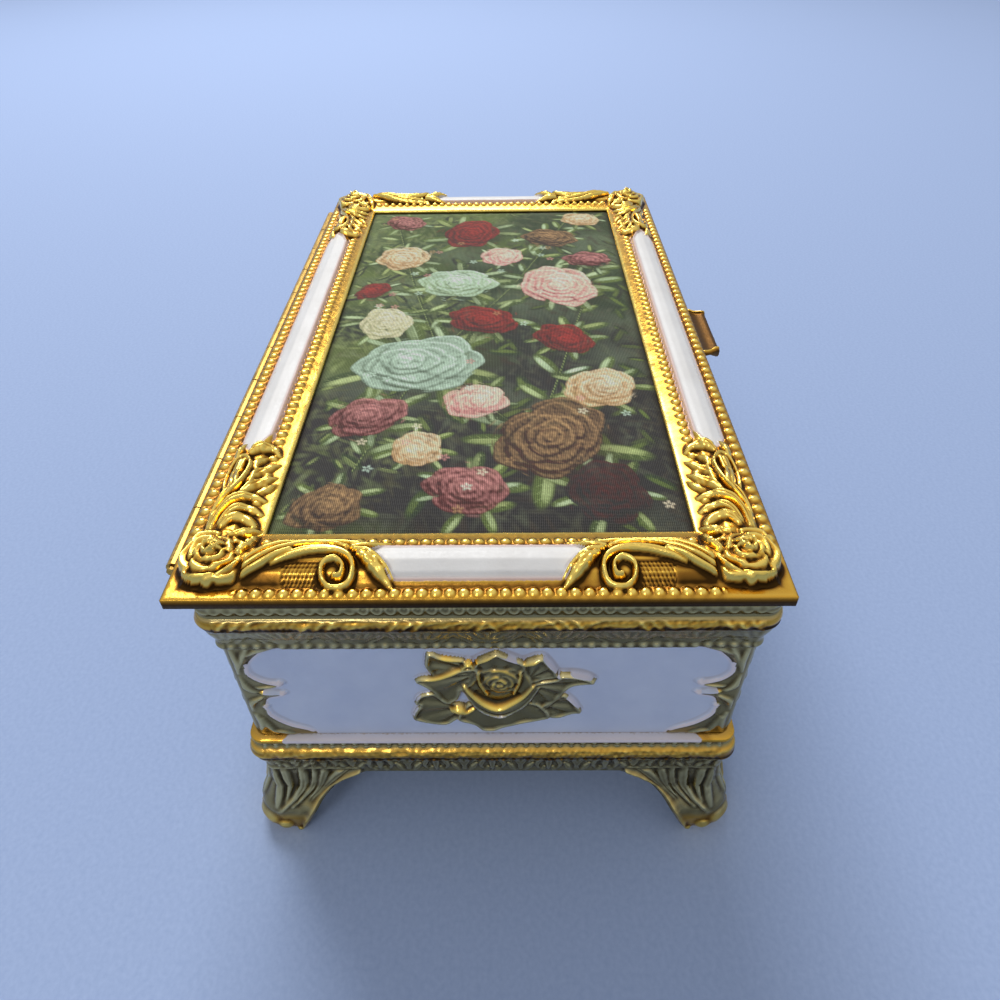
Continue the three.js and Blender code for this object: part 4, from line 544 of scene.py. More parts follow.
def make_lid_frame():
    x, y, inset, rise = lid_grid()
    q = lid_x - np.abs(x)
    p = lid_y - np.abs(y)
    from_edge = np.minimum(p, q)
    relief = Relief(p, q)
    top = np.isnan(rise)[:, None] & np.ones(x.shape, bool)
    # bead rows, plain for the last 12 mm before each corner
    long_bead = (p < q) & (q > 12.2)
    short_bead = (q <= p) & (p > 12.2)
    relief.bead(np.abs(x), p - 1.45, 2.78, 1.0, 0.62, long_bead)
    relief.bead(np.abs(y), q - 1.45, 2.42, 0.96, 0.62, short_bead)
    relief.bead(np.abs(x), p - 11.75, 2.78, 0.98, 0.6, (p < q))
    relief.bead(np.abs(y), q - 11.75, 2.42, 0.94, 0.6, (q <= p))
    draw_corner(relief)
    rose = Relief(p, q)
    draw_corner_rose(rose, (7.6, 8.2))
    relief.gilt = np.maximum(relief.gilt, rose.gilt)
    patch = (p > 20.6) & (p < 27) & (q > 2.6) & (q < 6.4)
    cell_p, cell_q = (p / 0.72 + 0.5 * (np.floor(q / 0.68) % 2)) % 1 - 0.5, (q / 0.68) % 1 - 0.5
    pips = 0.42 * np.clip(1 - (cell_p**2 + cell_q**2) / 0.14, 0, 1)**0.5 - 0.25
    patch = patch & (relief.height < 0.3)
    relief.height = np.where(patch, np.maximum(relief.height, 0) + pips, relief.height)
    trough = (p > 13.5) & (p < 28) & (q > 2.8) & (q < 6.6) & (relief.height < 0.3)
    # the white panels: pointed at both ends on the long sides, cut slantwise by leaves on the short
    long_panel = np.array([(6.6, 38.0), (4.6, 40.6), (3.5, 43.5), (3.4, 50), (3.4, 200), (10.2, 200),
                           (10.2, 50), (10.1, 44), (8.8, 40.6)])
    short_panel = np.array([(34.0, 9.4), (36.0, 6.4), (38.6, 3.6), (41, 3.4), (200, 3.4), (200, 10.2),
                            (36.6, 10.2)])
    enamel = np.zeros(x.shape)
    blush = np.zeros(x.shape)
    for line, side in ((long_panel, p < q), (short_panel, q <= p)):
        where = np.nonzero((from_edge < 13) & side & top & ((q > 34) | (p > 30)))
        distance = nearest(p[where], q[where], np.vstack([line, line[:1]]))[0]
        within = np.where(inside(p[where], q[where], line), distance, -distance)
        bare = 1 - relief.gilt[where]
        enamel[where] = np.maximum(enamel[where], ease(within, -0.45, 0.35) * bare)
        blush[where] = np.maximum(blush[where], (1 - ease(within, 0.0, 0.9)) * bare)
        lip = 0.32 * np.exp(-((within - 0.05) / 0.32)**2) - 0.12 * ease(within, 0.2, 0.6)
        relief.height[where] = np.maximum(relief.height[where], lip * bare) + np.minimum(lip, 0) * bare
    inner_slope = ease(from_edge, 10.0, 10.3) * (1 - ease(from_edge, 10.8, 11.2)) * (1 - relief.gilt)
    beyond = np.where(p < q, ease(q, 40, 43), ease(p, 36, 39))
    enamel = np.maximum(enamel, 0.5 * inner_slope * beyond)
    blush = np.maximum(blush, inner_slope * beyond)
    plain = lid_moulding(from_edge)
    uneven = 0.05 * unevenness(x, y, 9, 3) * ease(from_edge, 1, 3)
    up = np.maximum(plain + relief.height, rose.height) + uneven
    up = np.where(top, soften(np.where(top, up, 0)), 0)
    # the low trough by the stipple patch is painted darker, as painted shade, and the stipple dots lighter, as
    # painted highlights
    patina_and_shade = hollows(up) + soften(np.where(trough, 0.48, 0) - np.where(patch & (pips > 0), 0.6, 0), 1)
    z = np.where(top, up, np.broadcast_to(np.nan_to_num(rise)[:, None], x.shape))
    # the seat of the clasp under the front rim
    seat = (np.abs(x) < clasp_half + 0.2) & (y < 0) & (p <= 5.36) & (z < 0)
    z = np.where(seat, 82.25 - rim_top, z)
    # rows of the outer side, between the rim's foot and its top
    points = np.stack([x, y + lid_shift, z + rim_top], -1)
    rows, columns = x.shape
    faces = grid_faces(rows, columns, True, True)
    # the outer side face of the rim is painted dark brown, a painted dark reflection, and the underside a little
    # darker
    side_painted_dark = np.where(inset < 0.2, 0.66, 0.1)[:, None]
    values = {"patina_and_shade": np.where(top, patina_and_shade, side_painted_dark), "enamel": np.where(top, enamel, 0), "blush": blush}
    return make_mesh("cast_lid_frame", points.reshape(-1, 3), faces, values)


lid_casting = make_lid_frame()
lid_casting.data.materials.append(gilt_enamel)
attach(lid_casting, "lid")
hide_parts("lid_frame")
print("lid frame", len(lid_casting.data.polygons), "faces")

# %% [markdown]
# ## The walls
#
# In reality one casting too: four walls under a cornice, gilt, with the fields between the scrolled
# ends sprayed white. The grid runs round the box in columns and up its profile in rows. u is the
# distance along a wall from its middle, and a the distance from the nearest corner.

# %%
def round_box(step):
    """Points round the outline of the box, counter-clockwise, with their outward directions."""
    x, y, nx, ny, along, side_of = [], [], [], [], [], []
    for side in range(4):
        half, across = (half_x, half_y) if side % 2 == 0 else (half_y, half_x)
        straight = half - wall_corner
        # closer together over the rose in the middle of the wall
        outer_part = np.linspace(rose_half, straight, int((straight - rose_half) / step) + 1)
        inner_part = np.linspace(-rose_half, rose_half, int(2 * rose_half / (0.6 * step)))
        u = np.concatenate([-outer_part[::-1], inner_part[1:-1], outer_part])
        count = len(u)
        turn = side * math.pi / 2
        arc = np.linspace(0, math.pi / 2, max(4, int(10 / (0.45 * coarse))) + 2)[1:-1]
        px = np.concatenate([u, straight + wall_corner * np.sin(arc)])
        py = np.concatenate([np.full(count, -across), -across + wall_corner - wall_corner * np.cos(arc)])
        dx = np.concatenate([np.zeros(count), np.sin(arc)])
        dy = np.concatenate([-np.ones(count), -np.cos(arc)])
        x.append(px * math.cos(turn) - py * math.sin(turn))
        y.append(px * math.sin(turn) + py * math.cos(turn))
        nx.append(dx * math.cos(turn) - dy * math.sin(turn))
        ny.append(dx * math.sin(turn) + dy * math.cos(turn))
        along.append(np.concatenate([u, np.full(len(arc), half)]))
        side_of.append(np.full(count + len(arc), side))
    return [np.concatenate(part) for part in (x, y, nx, ny, along, side_of)]


def spread(x, y, nx, ny, out):
    """The outline moved outwards. Far inside it shrinks as a whole, so that corners don't cross."""
    moved_x, moved_y = x + nx * out, y + ny * out
    shrunk_x, shrunk_y = x * (half_x + out) / half_x, y * (half_y + out) / half_y
    return np.where(out < -1, shrunk_x, moved_x), np.where(out < -1, shrunk_y, moved_y)


def profile_rows(profile, step):
    """Evenly spaced points along a profile of [outwards, up]."""
    line = np.array(profile, float)
    length = np.concatenate([[0], np.cumsum(np.hypot(*np.diff(line, axis=0).T))])
    count = max(2, int(length[-1] / step))
    at = np.linspace(0, length[-1], count)
    return np.interp(at, length, line[:, 0]), np.interp(at, length, line[:, 1])


# The scrolled end of a field, in a (from the corner) and z, from the top down
field_edge = [(11.5, 65.6), (8.1, 64.8), (5.6, 62.6), (4.0, 60.6), (3.4, 59.2), (3.3, 57.4), (4.7, 55.4),
              (7.0, 54.4), (8.8, 53.4), (8.0, 52.4), (5.4, 51.7), (5.2, 50.7), (8.4, 50.0), (8.0, 49.2),
              (5.4, 48.4), (4.4, 46.6), (4.2, 44.6), (4.9, 42.4), (7.6, 39.4), (11.0, 37.6), (12.8, 36.2),
              (13.4, 34.4)]
# Lines of the scroll: the finish, then points of a, z, half width and height
scroll_lines = [
    (0.9, [(3.3, 60.2, 0.3, 0.6), (3.2, 57.4, 0.4, 0.9), (4.6, 55.5, 0.45, 1.0), (6.8, 54.4, 0.45, 1.0),
           (8.4, 54.2, 0.5, 1.1)]),
    (0.9, [(8.7, 54.1, 0.8, 1.3), (8.9, 54.1, 0.8, 1.3)]),
    (0.9, [(8.7, 50.6, 0.65, 1.2), (8.9, 50.6, 0.65, 1.2)]),
    (0.9, [(4.2, 45.8, 0.55, 1.1), (4.35, 45.8, 0.55, 1.1)]),
    (0.9, [(4.2, 45.0, 0.3, 0.8), (4.9, 42.4, 0.45, 1.0), (7.6, 39.5, 0.45, 1.0), (11.0, 37.6, 0.45, 0.9),
           (12.8, 36.2, 0.3, 0.6)]),
    (-1, [(4.6, 50.9, 0.5, 1.0), (6.4, 50.9, 0.5, 1.2), (8.2, 50.6, 0.35, 1.0)]),
    (0.0, [(4.0, 52.6, 0.4, 0.8), (6.0, 52.9, 0.45, 1.0), (7.9, 53.0, 0.3, 0.8)]),
    (0.0, [(1.2, 36.0, 0.6, 0.8), (2.2, 39.5, 0.9, 1.1), (1.6, 43.0, 0.4, 0.8)]),
    (0.0, [(4.6, 35.6, 0.5, 0.7), (3.6, 38.2, 0.8, 1.1), (2.6, 41.6, 0.4, 0.8)]),
    (0.0, [(8.6, 35.2, 0.4, 0.6), (6.4, 36.2, 0.7, 0.9), (4.2, 36.8, 0.5, 0.9)]),
    (0.0, [(1.0, 44.5, 0.5, 0.8), (1.9, 47.5, 0.9, 1.1), (4.2, 49.2, 0.5, 1.0)]),
    (0.0, [(0.9, 56.5, 0.5, 0.8), (1.7, 53.2, 0.8, 1.1), (3.4, 51.2, 0.5, 1.0)]),
    (0.0, [(1.2, 64.8, 0.6, 0.8), (2.0, 61.0, 0.9, 1.1), (1.2, 57.6, 0.5, 0.8)]),
    (0.0, [(4.6, 65.2, 0.5, 0.8), (3.4, 62.8, 0.8, 1.1), (2.2, 59.4, 0.4, 0.8)]),
    (0.0, [(9.6, 65.4, 0.4, 0.6), (6.8, 64.9, 0.7, 1.0), (4.6, 63.6, 0.5, 0.9)]),
]
wall_leaves = [
    # outline in u and z over the middle of the wall, height, lean, root of the veins
    ([(-12.0, 14.0), (-10.8, 14.2), (-9.5, 13.4), (-5.3, 12.4), (-4.1, 11.3), (-3.4, 9.6), (-6.6, 8.6),
      (-9.5, 7.6), (-11.2, 6.5), (-12.6, 9.4), (-12.4, 11.9)], 0.8, (0.0, 0.06), (-4, 9)),
    ([(-12.6, 0.7), (-14.5, -0.1), (-15.8, -3.1), (-14.7, -3.5), (-15.8, -5.6), (-16.6, -8.5), (-15.3, -9.5),
      (-13.2, -10.3), (-9.5, -11.0), (-7.0, -8.9), (-4.1, -6.4), (-5.3, -3.1), (-8.7, -2.1), (-11.2, 0.8)],
     0.75, (-0.02, 0.0), (-4, -4)),
    ([(-15.1, 4.9), (-13.7, 6.3), (-11.2, 6.9), (-8.2, 8.1), (-5.3, 9.8), (-2.4, 10.3), (-2.0, 7.8),
      (-3.2, 4.4), (-5.3, 2.8), (-5.8, 1.1), (-6.6, -1.4), (-8.7, -3.1), (-10.3, -2.2), (-11.6, 1.1),
      (-13.7, 3.6)], 1.1, (0.03, 0.06), (-3, 8)),
    ([(11.3, -3.1), (14.2, -0.1), (15.5, 0.1), (17.2, -2.2), (19.2, -6.2), (17.2, -6.8), (14.7, -8.3),
      (12.2, -8.1), (9.0, -5.4)], 0.8, (0.02, 0.0), (9, -3)),
    ([(-7.0, -8.7), (-3.7, -10.4), (-2.0, -12.5), (0.5, -12.9), (2.6, -11.6), (7.2, -9.9), (10.9, -8.7),
      (12.6, -7.6), (11.3, -4.4), (8.0, -2.0), (-3.0, -2.0), (-6.0, -5.0)], 1.1, (0.0, -0.02), (2, 2)),
    ([(9.2, 4.9), (13.4, 6.5), (14.2, 7.8), (17.2, 7.5), (19.7, 6.5), (21.5, 4.9), (18.0, 4.2), (16.3, 3.2),
      (14.7, 0.3), (13.0, -3.1), (11.3, -5.1), (8.8, -3.1), (7.4, 1.1), (7.6, 3.4)], 1.2, (0.02, 0.07), (8, 4)),
    ([(6.8, 11.3), (8.0, 12.6), (10.3, 13.4), (11.3, 11.9), (13.4, 8.2), (13.4, 6.5), (10.9, 5.7),
      (8.4, 4.6), (6.6, 8.0)], 1.2, (0.02, 0.06), (8, 6)),
    ([(-2.4, 12.2), (-1.2, 13.4), (1.3, 14.9), (2.6, 14.4), (4.7, 12.9), (6.8, 11.6), (7.2, 9.4), (4.7, 7.6),
      (-1.2, 8.2), (-3.2, 9.6)], 1.4, (0.0, 0.06), (1.6, 5)),
]
# Rolled edges of the leaves: the finish, then points of u, z, half width and height
wall_edges = [
    (-1, [(-10.2, 13.0, 0.4, 1.3), (-8.2, 12.5, 0.5, 1.6), (-5.4, 11.9, 0.35, 1.4)]),
    (-1, [(-13.6, 5.7, 0.4, 1.5), (-10.6, 6.5, 0.55, 1.9), (-7.6, 8.2, 0.55, 2.0), (-5.6, 9.4, 0.4, 1.7)]),
    (0.7, [(-12.8, 0.5, 0.25, 1.0), (-14.6, -0.7, 0.35, 1.2), (-15.4, -3.0, 0.25, 1.0)]),
    (0.7, [(-15.0, -4.2, 0.25, 1.0), (-15.9, -6.4, 0.35, 1.2), (-16.3, -8.4, 0.25, 1.0)]),
    (-1, [(-7.8, -4.6, 0.8, 1.8), (-6.6, -4.3, 1.1, 2.4), (-5.0, -5.0, 0.8, 2.1), (-3.4, -4.2, 0.5, 1.7)]),
    (0.6, [(-1.4, -12.1, 0.3, 1.2), (0.5, -12.5, 0.35, 1.4), (2.4, -11.4, 0.3, 1.2)]),
    (1.0, [(15.0, -0.1, 0.35, 1.1), (16.9, -2.2, 0.45, 1.3), (18.9, -6.0, 0.25, 1.0)]),
    (1.0, [(13.7, 7.0, 0.4, 1.7), (16.8, 7.2, 0.5, 1.9), (19.5, 6.4, 0.45, 1.7), (21.2, 4.9, 0.2, 1.1)]),
    (-1, [(7.2, 11.2, 0.55, 1.9), (8.8, 12.0, 0.65, 2.2), (10.1, 12.6, 0.45, 1.8)]),
    (1.0, [(10.5, 12.9, 0.35, 1.6), (11.9, 10.6, 0.4, 1.7), (13.2, 8.2, 0.3, 1.4)]),
    (-1, [(-2.3, 11.8, 0.4, 1.9), (-0.4, 13.2, 0.5, 2.2), (1.1, 14.2, 0.4, 2.0)]),
    (0.9, [(1.5, 14.4, 0.3, 1.9), (4.0, 12.9, 0.4, 2.0), (6.6, 11.2, 0.35, 1.7)]),
    (-1, [(-5.2, 9.8, 0.4, 1.8), (-4.0, 11.5, 0.5, 2.2), (-3.0, 10.0, 0.4, 1.8)]),
]
# The cup of folded petals round the heart
wall_cup = [
    (0.0, [(-5.2, 3.4, 0.9, 1.6), (-2.4, -1.9, 1.5, 1.7), (1.6, -4.6, 2.0, 1.8), (5.8, -2.4, 1.5, 1.7),
           (9.0, 3.4, 0.9, 1.6)]),
    (0.5, [(-5.6, 3.0, 0.3, 1.7), (-2.6, -3.7, 0.4, 2.0), (1.3, -6.6, 0.45, 2.1), (3.8, -5.9, 0.4, 2.0),
           (7.4, -2.1, 0.4, 1.9), (9.9, 3.3, 0.3, 1.7)]),
    (-1, [(-5.1, 4.2, 0.5, 2.1), (-3.7, 1.7, 0.65, 2.5), (-1.6, -0.9, 0.8, 2.8), (0.5, -2.4, 0.95, 3.0),
           (2.2, -2.5, 0.95, 3.0), (4.2, -1.3, 0.8, 2.8), (6.8, 1.1, 0.65, 2.5), (8.8, 4.2, 0.45, 2.1)]),
    (-0.7, [(-2.1, 9.2, 0.35, 2.2), (-1.9, 5.6, 0.5, 2.5), (-0.5, 1.5, 0.4, 2.3)]),
    (-0.5, [(6.2, 9.0, 0.4, 2.2), (5.9, 5.8, 0.5, 2.5), (4.8, 1.8, 0.4, 2.3)]),
    (-1, [(-0.8, 1.2, 0.35, 2.4), (1.6, 0.3, 0.55, 2.8), (4.2, 0.6, 0.4, 2.5)]),
]


def draw_wall_rose(relief, middle):
    # a low boss that the petals stand on
    relief.stroke([(1.9, middle + 3.5, 6.9, 1.2), (2.1, middle + 3.5, 6.9, 1.2)], power=0.2)
    for outline, height, lean, root in wall_leaves:
        points = [(x, z + middle) for x, z in outline]
        relief.plate(points, height, 0.35, 0.45, lean, ((root[0], root[1] + middle), 11, 0.38))
    for finish, points in wall_edges:
        relief.stroke([(x, z + middle, 1.3 * w, h) for x, z, w, h in points], power=0.8, finish=finish)
    cup = (2.0, middle + 3.6)
    for angle, half, reach, edge, inner in [(140, 62, 7.2, 1.7, 1.1), (30, 62, 7.2, 1.7, 1.1),
                                            (85, 50, 5.8, 2.1, 1.4)]:
        relief.petal(cup, angle, half, reach, edge, inner, 0.3, 0.3)
    for finish, points in wall_cup[:3]:
        relief.stroke([(x, z + middle, w, h) for x, z, w, h in points], finish=finish)
    heart = (2.1, middle + 5.6)
    for angle, half, reach, edge, inner in [(75, 80, 4.5, 2.3, 1.4), (195, 75, 4.2, 2.2, 1.4),
                                            (315, 75, 4.1, 2.2, 1.4), (30, 66, 3.4, 2.7, 1.8),
                                            (150, 66, 3.4, 2.7, 1.8), (270, 66, 3.2, 2.6, 1.8),
                                            (90, 75, 2.4, 3.1, 2.3), (210, 75, 2.3, 3.1, 2.3),
                                            (330, 75, 2.3, 3.0, 2.3), (50, 100, 1.3, 3.4, 2.8),
                                            (230, 100, 1.3, 3.3, 2.8)]:
        relief.petal(heart, angle, half, reach, edge, inner, 0.34, 0.5)
    for finish, points in wall_cup[3:5]:
        relief.stroke([(x, z + middle, w, h) for x, z, w, h in points], finish=finish)


def repeat(value, pitch):
    """Folds a length into one motif, mirrored about its middle."""
    return np.abs((value / pitch + 0.5) % 1 - 0.5) * pitch


def draw_leaf_band(relief, low, high):
    """A running band of leaves: curved fingers that fan out from the middle of every motif."""
    tall = high - low
    fingers = [(0.0, 0.0, 0.0, 0.8, 0.5), (0.3, 1.3, 1.9, 0.7, 0.42), (0.6, 2.7, 3.6, 0.7, 0.42),
               (1.6, 4.0, 5.0, 0.6, 0.36), (3.6, 5.3, 6.3, 0.6, 0.32)]
    for root, waist, tip, width, height in fingers:
        relief.stroke([(root, low + 0.05 * tall, width * 0.6, height * 0.6),
                       (waist, low + 0.45 * tall, width, height),
                       (tip, low + 0.8 * tall, width * 0.9, height * 0.8),
                       (tip + 0.3, low + 0.98 * tall, width * 0.4, height * 0.4)], power=0.6)


def make_body_shell():
    step = 0.22 * coarse
    x, y, nx, ny, along, side = round_box(1.25 * step)
    outer = [(0, base_top + 0.05), (0, wall_top), (0.7, 66.0), (0.9, 66.6), (0.7, 67.3), (0.9, 69.0),
             (1.5, 70.6), (2.2, 72.3), (2.5, 72.9), (2.8, 73.6), (2.95, 74.5), (2.8, 75.4), (2.5, 76.0),
             (2.05, 76.3), (1.9, 76.8), (2.0, 80.6), (2.15, 80.8)]
    out, up = profile_rows(outer, 0.8 * step)
    back = [(0.4, 80.8), (-wall_thickness + 0.2, 80.8), (-wall_thickness, 80.6), (-wall_thickness, 65),
            (-wall_thickness, 50), (-wall_thickness, base_top + 0.15), (-wall_thickness + 0.1, base_top + 0.05),
            (-0.2, base_top + 0.05)]
    outer_rows = len(out)
    out = np.concatenate([out, [o for o, _ in back]])
    up = np.concatenate([up, [z for _, z in back]])
    half = np.where(side % 2 == 0, half_x, half_y)
    a = np.broadcast_to((half - np.abs(along))[None, :], (len(out), len(x)))
    u = np.broadcast_to(along[None, :], a.shape)
    z = np.broadcast_to(up[:, None], a.shape)
    facing = np.broadcast_to((np.arange(len(out)) < outer_rows)[:, None], a.shape)
    middle = (base_top + wall_top) / 2

    corner = Relief(a.copy(), z.copy())
    field = smooth_line(field_edge, 5)[:, :2]
    outline = np.vstack([field, [(300, 34.4), (300, 65.6)]])
    where = np.nonzero((z < 67) & facing)
    distance = nearest(a[where], z[where], field)[0]
    within = np.full(a.shape, -9.0)
    within[where] = np.where(inside(a[where], z[where], outline), distance, -distance)
    # the gilt ground outside the field stands a little higher, with the scroll and its leaves on it
    corner.height = 0.35 * ease(-within, 0.1, 0.8) * (z < 66)
    for finish, points in scroll_lines:
        corner.stroke(points, finish=finish)

    rose = Relief(u.copy(), z.copy())
    draw_wall_rose(rose, middle)

    band = Relief(repeat(u + 0.5 * unevenness(u, z, 8, 14), leaf_pitch), z.copy())
    draw_leaf_band(band, 67.4, 72.4)
    cusp = Relief(repeat(u, 2.45), z.copy())
    cusp.stroke([(0, 66.5, 0.75, 0.45), (0, 66.9, 0.7, 0.45)])
    ring_distance = np.hypot(repeat(u, 2.45), (z - 78.7) * 0.8)
    lunette = 0.5 * np.exp(-((ring_distance - 0.9) / 0.26)**2) * (z < 79.4) + 0.3 * np.exp(-(ring_distance / 0.4)**2)
    wrap = np.zeros(a.shape)
    from_end = np.minimum(a, 400)
    for start in (2.5, 18.0, 34.0, 50.0, 66.0, 82.0):
        for k in range(3):
            slant = from_end - start - 2.3 * k - 0.9 * (z - 74.5)
            wrap = np.maximum(wrap, 0.36 * np.exp(-(slant / 0.5)**2))
    on_torus = ease(z, 72.8, 73.6) * (1 - ease(z, 75.6, 76.2))
    on_lunette = ease(z, 76.9, 77.2) * (1 - ease(z, 80.4, 80.7))
    # folds and dents in the gilt roll, which the light catches here and there
    dents = 0.2 * unevenness(u + 77 * side[None, :], 2.5 * z, 5, 6) + 0.09 * unevenness(u, z - 40 * side, 1.7, 9)
    lift = np.maximum.reduce([corner.height, rose.height, 0.8 * band.height, cusp.height,
                              wrap * on_torus, lunette * on_lunette])
    lift = soften(lift, 3) + 0.03 * unevenness(u + 77 * side[None, :], z, 7, 5) + dents * on_torus
    # steep sides are rounded further, so that they end in a clean line
    steep = soften(ease(np.hypot(*np.gradient(lift)), 0.22, 0.5), 2)
    lift = lift + (soften(lift, 9) - lift) * steep
    lift = np.where(facing, lift, 0) * ease(z, base_top, base_top + 0.6)
    # the lower half of the gilt torus is made browner: painted shade
    patina_and_shade = hollows(lift) + 0.85 * ease(74.9 - z, 0, 1.3) * on_torus * (z > 72)
    # the crests in the rose's heart stay bright gilt: painted highlights
    heart = ease(6.4 - np.hypot(u - 2.1, z - middle - 5.0), 0, 1.2) * rose.gilt
    white = ease(within, -0.3, 0.2) * (1 - rose.gilt) * (z < 65.8)
    scroll_paint = np.maximum(corner.finish, 0) * (1 - rose.gilt)
    leaf_paint = soften(np.maximum(rose.finish, 0), 3)
    enamel = np.where(facing, np.maximum.reduce([white, scroll_paint, leaf_paint]), 0)
    pink = np.maximum.reduce([0.9 * scroll_paint, 0.9 * leaf_paint, 0.8 * np.exp(-(within / 0.4)**2) * white])
    blush = np.where(facing, pink, 0)
    # bright gilt on strokes marked -1, the torus and the heart's crests: wear with painted highlights; elsewhere the
    # wall gold is painted in shade
    wear_and_highlight = np.maximum.reduce([soften(-np.minimum(rose.finish, 0), 3), soften(-np.minimum(corner.finish, 0)),
                                0.95 * on_torus, heart * ease(-patina_and_shade, 0.02, 0.3)])
    # the back edge is lower where the hinge leaf lies
    rebate = (side == 2) & (np.abs(along) < 85.9)
    z = np.where(rebate[None, :] & (z > 77.8), 77.8 + (z - 77.8) * 0.7, z)
    px, py = spread(x, y, nx, ny, out[:, None] + lift)
    points = np.stack([px, py, z], -1)
    faces = grid_faces(len(out), len(x), True, True)
    values = {"patina_and_shade": patina_and_shade, "enamel": enamel, "blush": blush, "wear_and_highlight": wear_and_highlight}
    return make_mesh("cast_walls", points.reshape(-1, 3), faces, values)


walls = make_body_shell()
walls.data.materials.append(gilt_with_painted_shade)
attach(walls, "case")
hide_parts("body_shell")
print("walls", len(walls.data.polygons), "faces")

# %% [markdown]
# ## The base and its feet
#
# In reality a third casting: a ledge, a smooth roll and an apron, and at each corner a foot of long
# acanthus lobes that run down to a rounded toe. Each column of the grid starts at the arch between
# the feet, wherever that is, so the lower edge follows the curve without steps.

# %%
def arch_height(a):
    """Height of the arch over the floor at a distance from the corner."""
    share = np.linspace(0, 1, 60)
    run = foot_sole + (foot_spread - foot_sole) * (0.55 * share + 0.45 * share**4)
    return np.interp(a, run, foot_height * share)


# Lobes of a foot, by the distance from its flared corner
foot_strokes = [
    [(1.6, 21.2, 0.4, 0.4), (1.9, 18.8, 0.8, 0.8), (2.6, 15.0, 1.0, 1.0), (3.6, 11.6, 0.9, 0.9),
     (4.4, 9.2, 0.3, 0.5)],
    [(3.9, 21.6, 0.8, 0.5), (4.1, 19.6, 1.2, 0.9), (4.7, 16.0, 1.0, 1.0), (5.3, 12.8, 0.6, 0.8),
     (5.6, 10.4, 0.2, 0.4)],
    [(8.0, 21.8, 0.7, 0.5), (8.2, 19.6, 1.3, 0.9), (8.3, 16.4, 1.4, 1.1), (7.5, 12.8, 1.1, 1.0),
     (6.2, 9.6, 0.6, 0.7), (5.2, 7.8, 0.3, 0.4)],
    [(10.8, 21.6, 0.5, 0.5), (10.9, 19.6, 0.9, 0.8), (10.6, 16.2, 1.0, 0.9), (9.4, 12.6, 0.8, 0.8),
     (7.9, 9.6, 0.4, 0.5)],
    [(13.7, 21.6, 0.7, 0.5), (13.2, 19.6, 1.2, 0.9), (12.4, 16.4, 1.0, 1.0), (11.4, 13.2, 0.5, 0.7),
     (10.8, 11.8, 0.2, 0.4)],
    [(19.0, 21.6, 0.6, 0.5), (17.0, 20.2, 1.1, 0.9), (15.0, 17.8, 1.2, 1.0), (13.2, 14.8, 0.8, 0.8),
     (11.6, 11.6, 0.3, 0.4)],
]


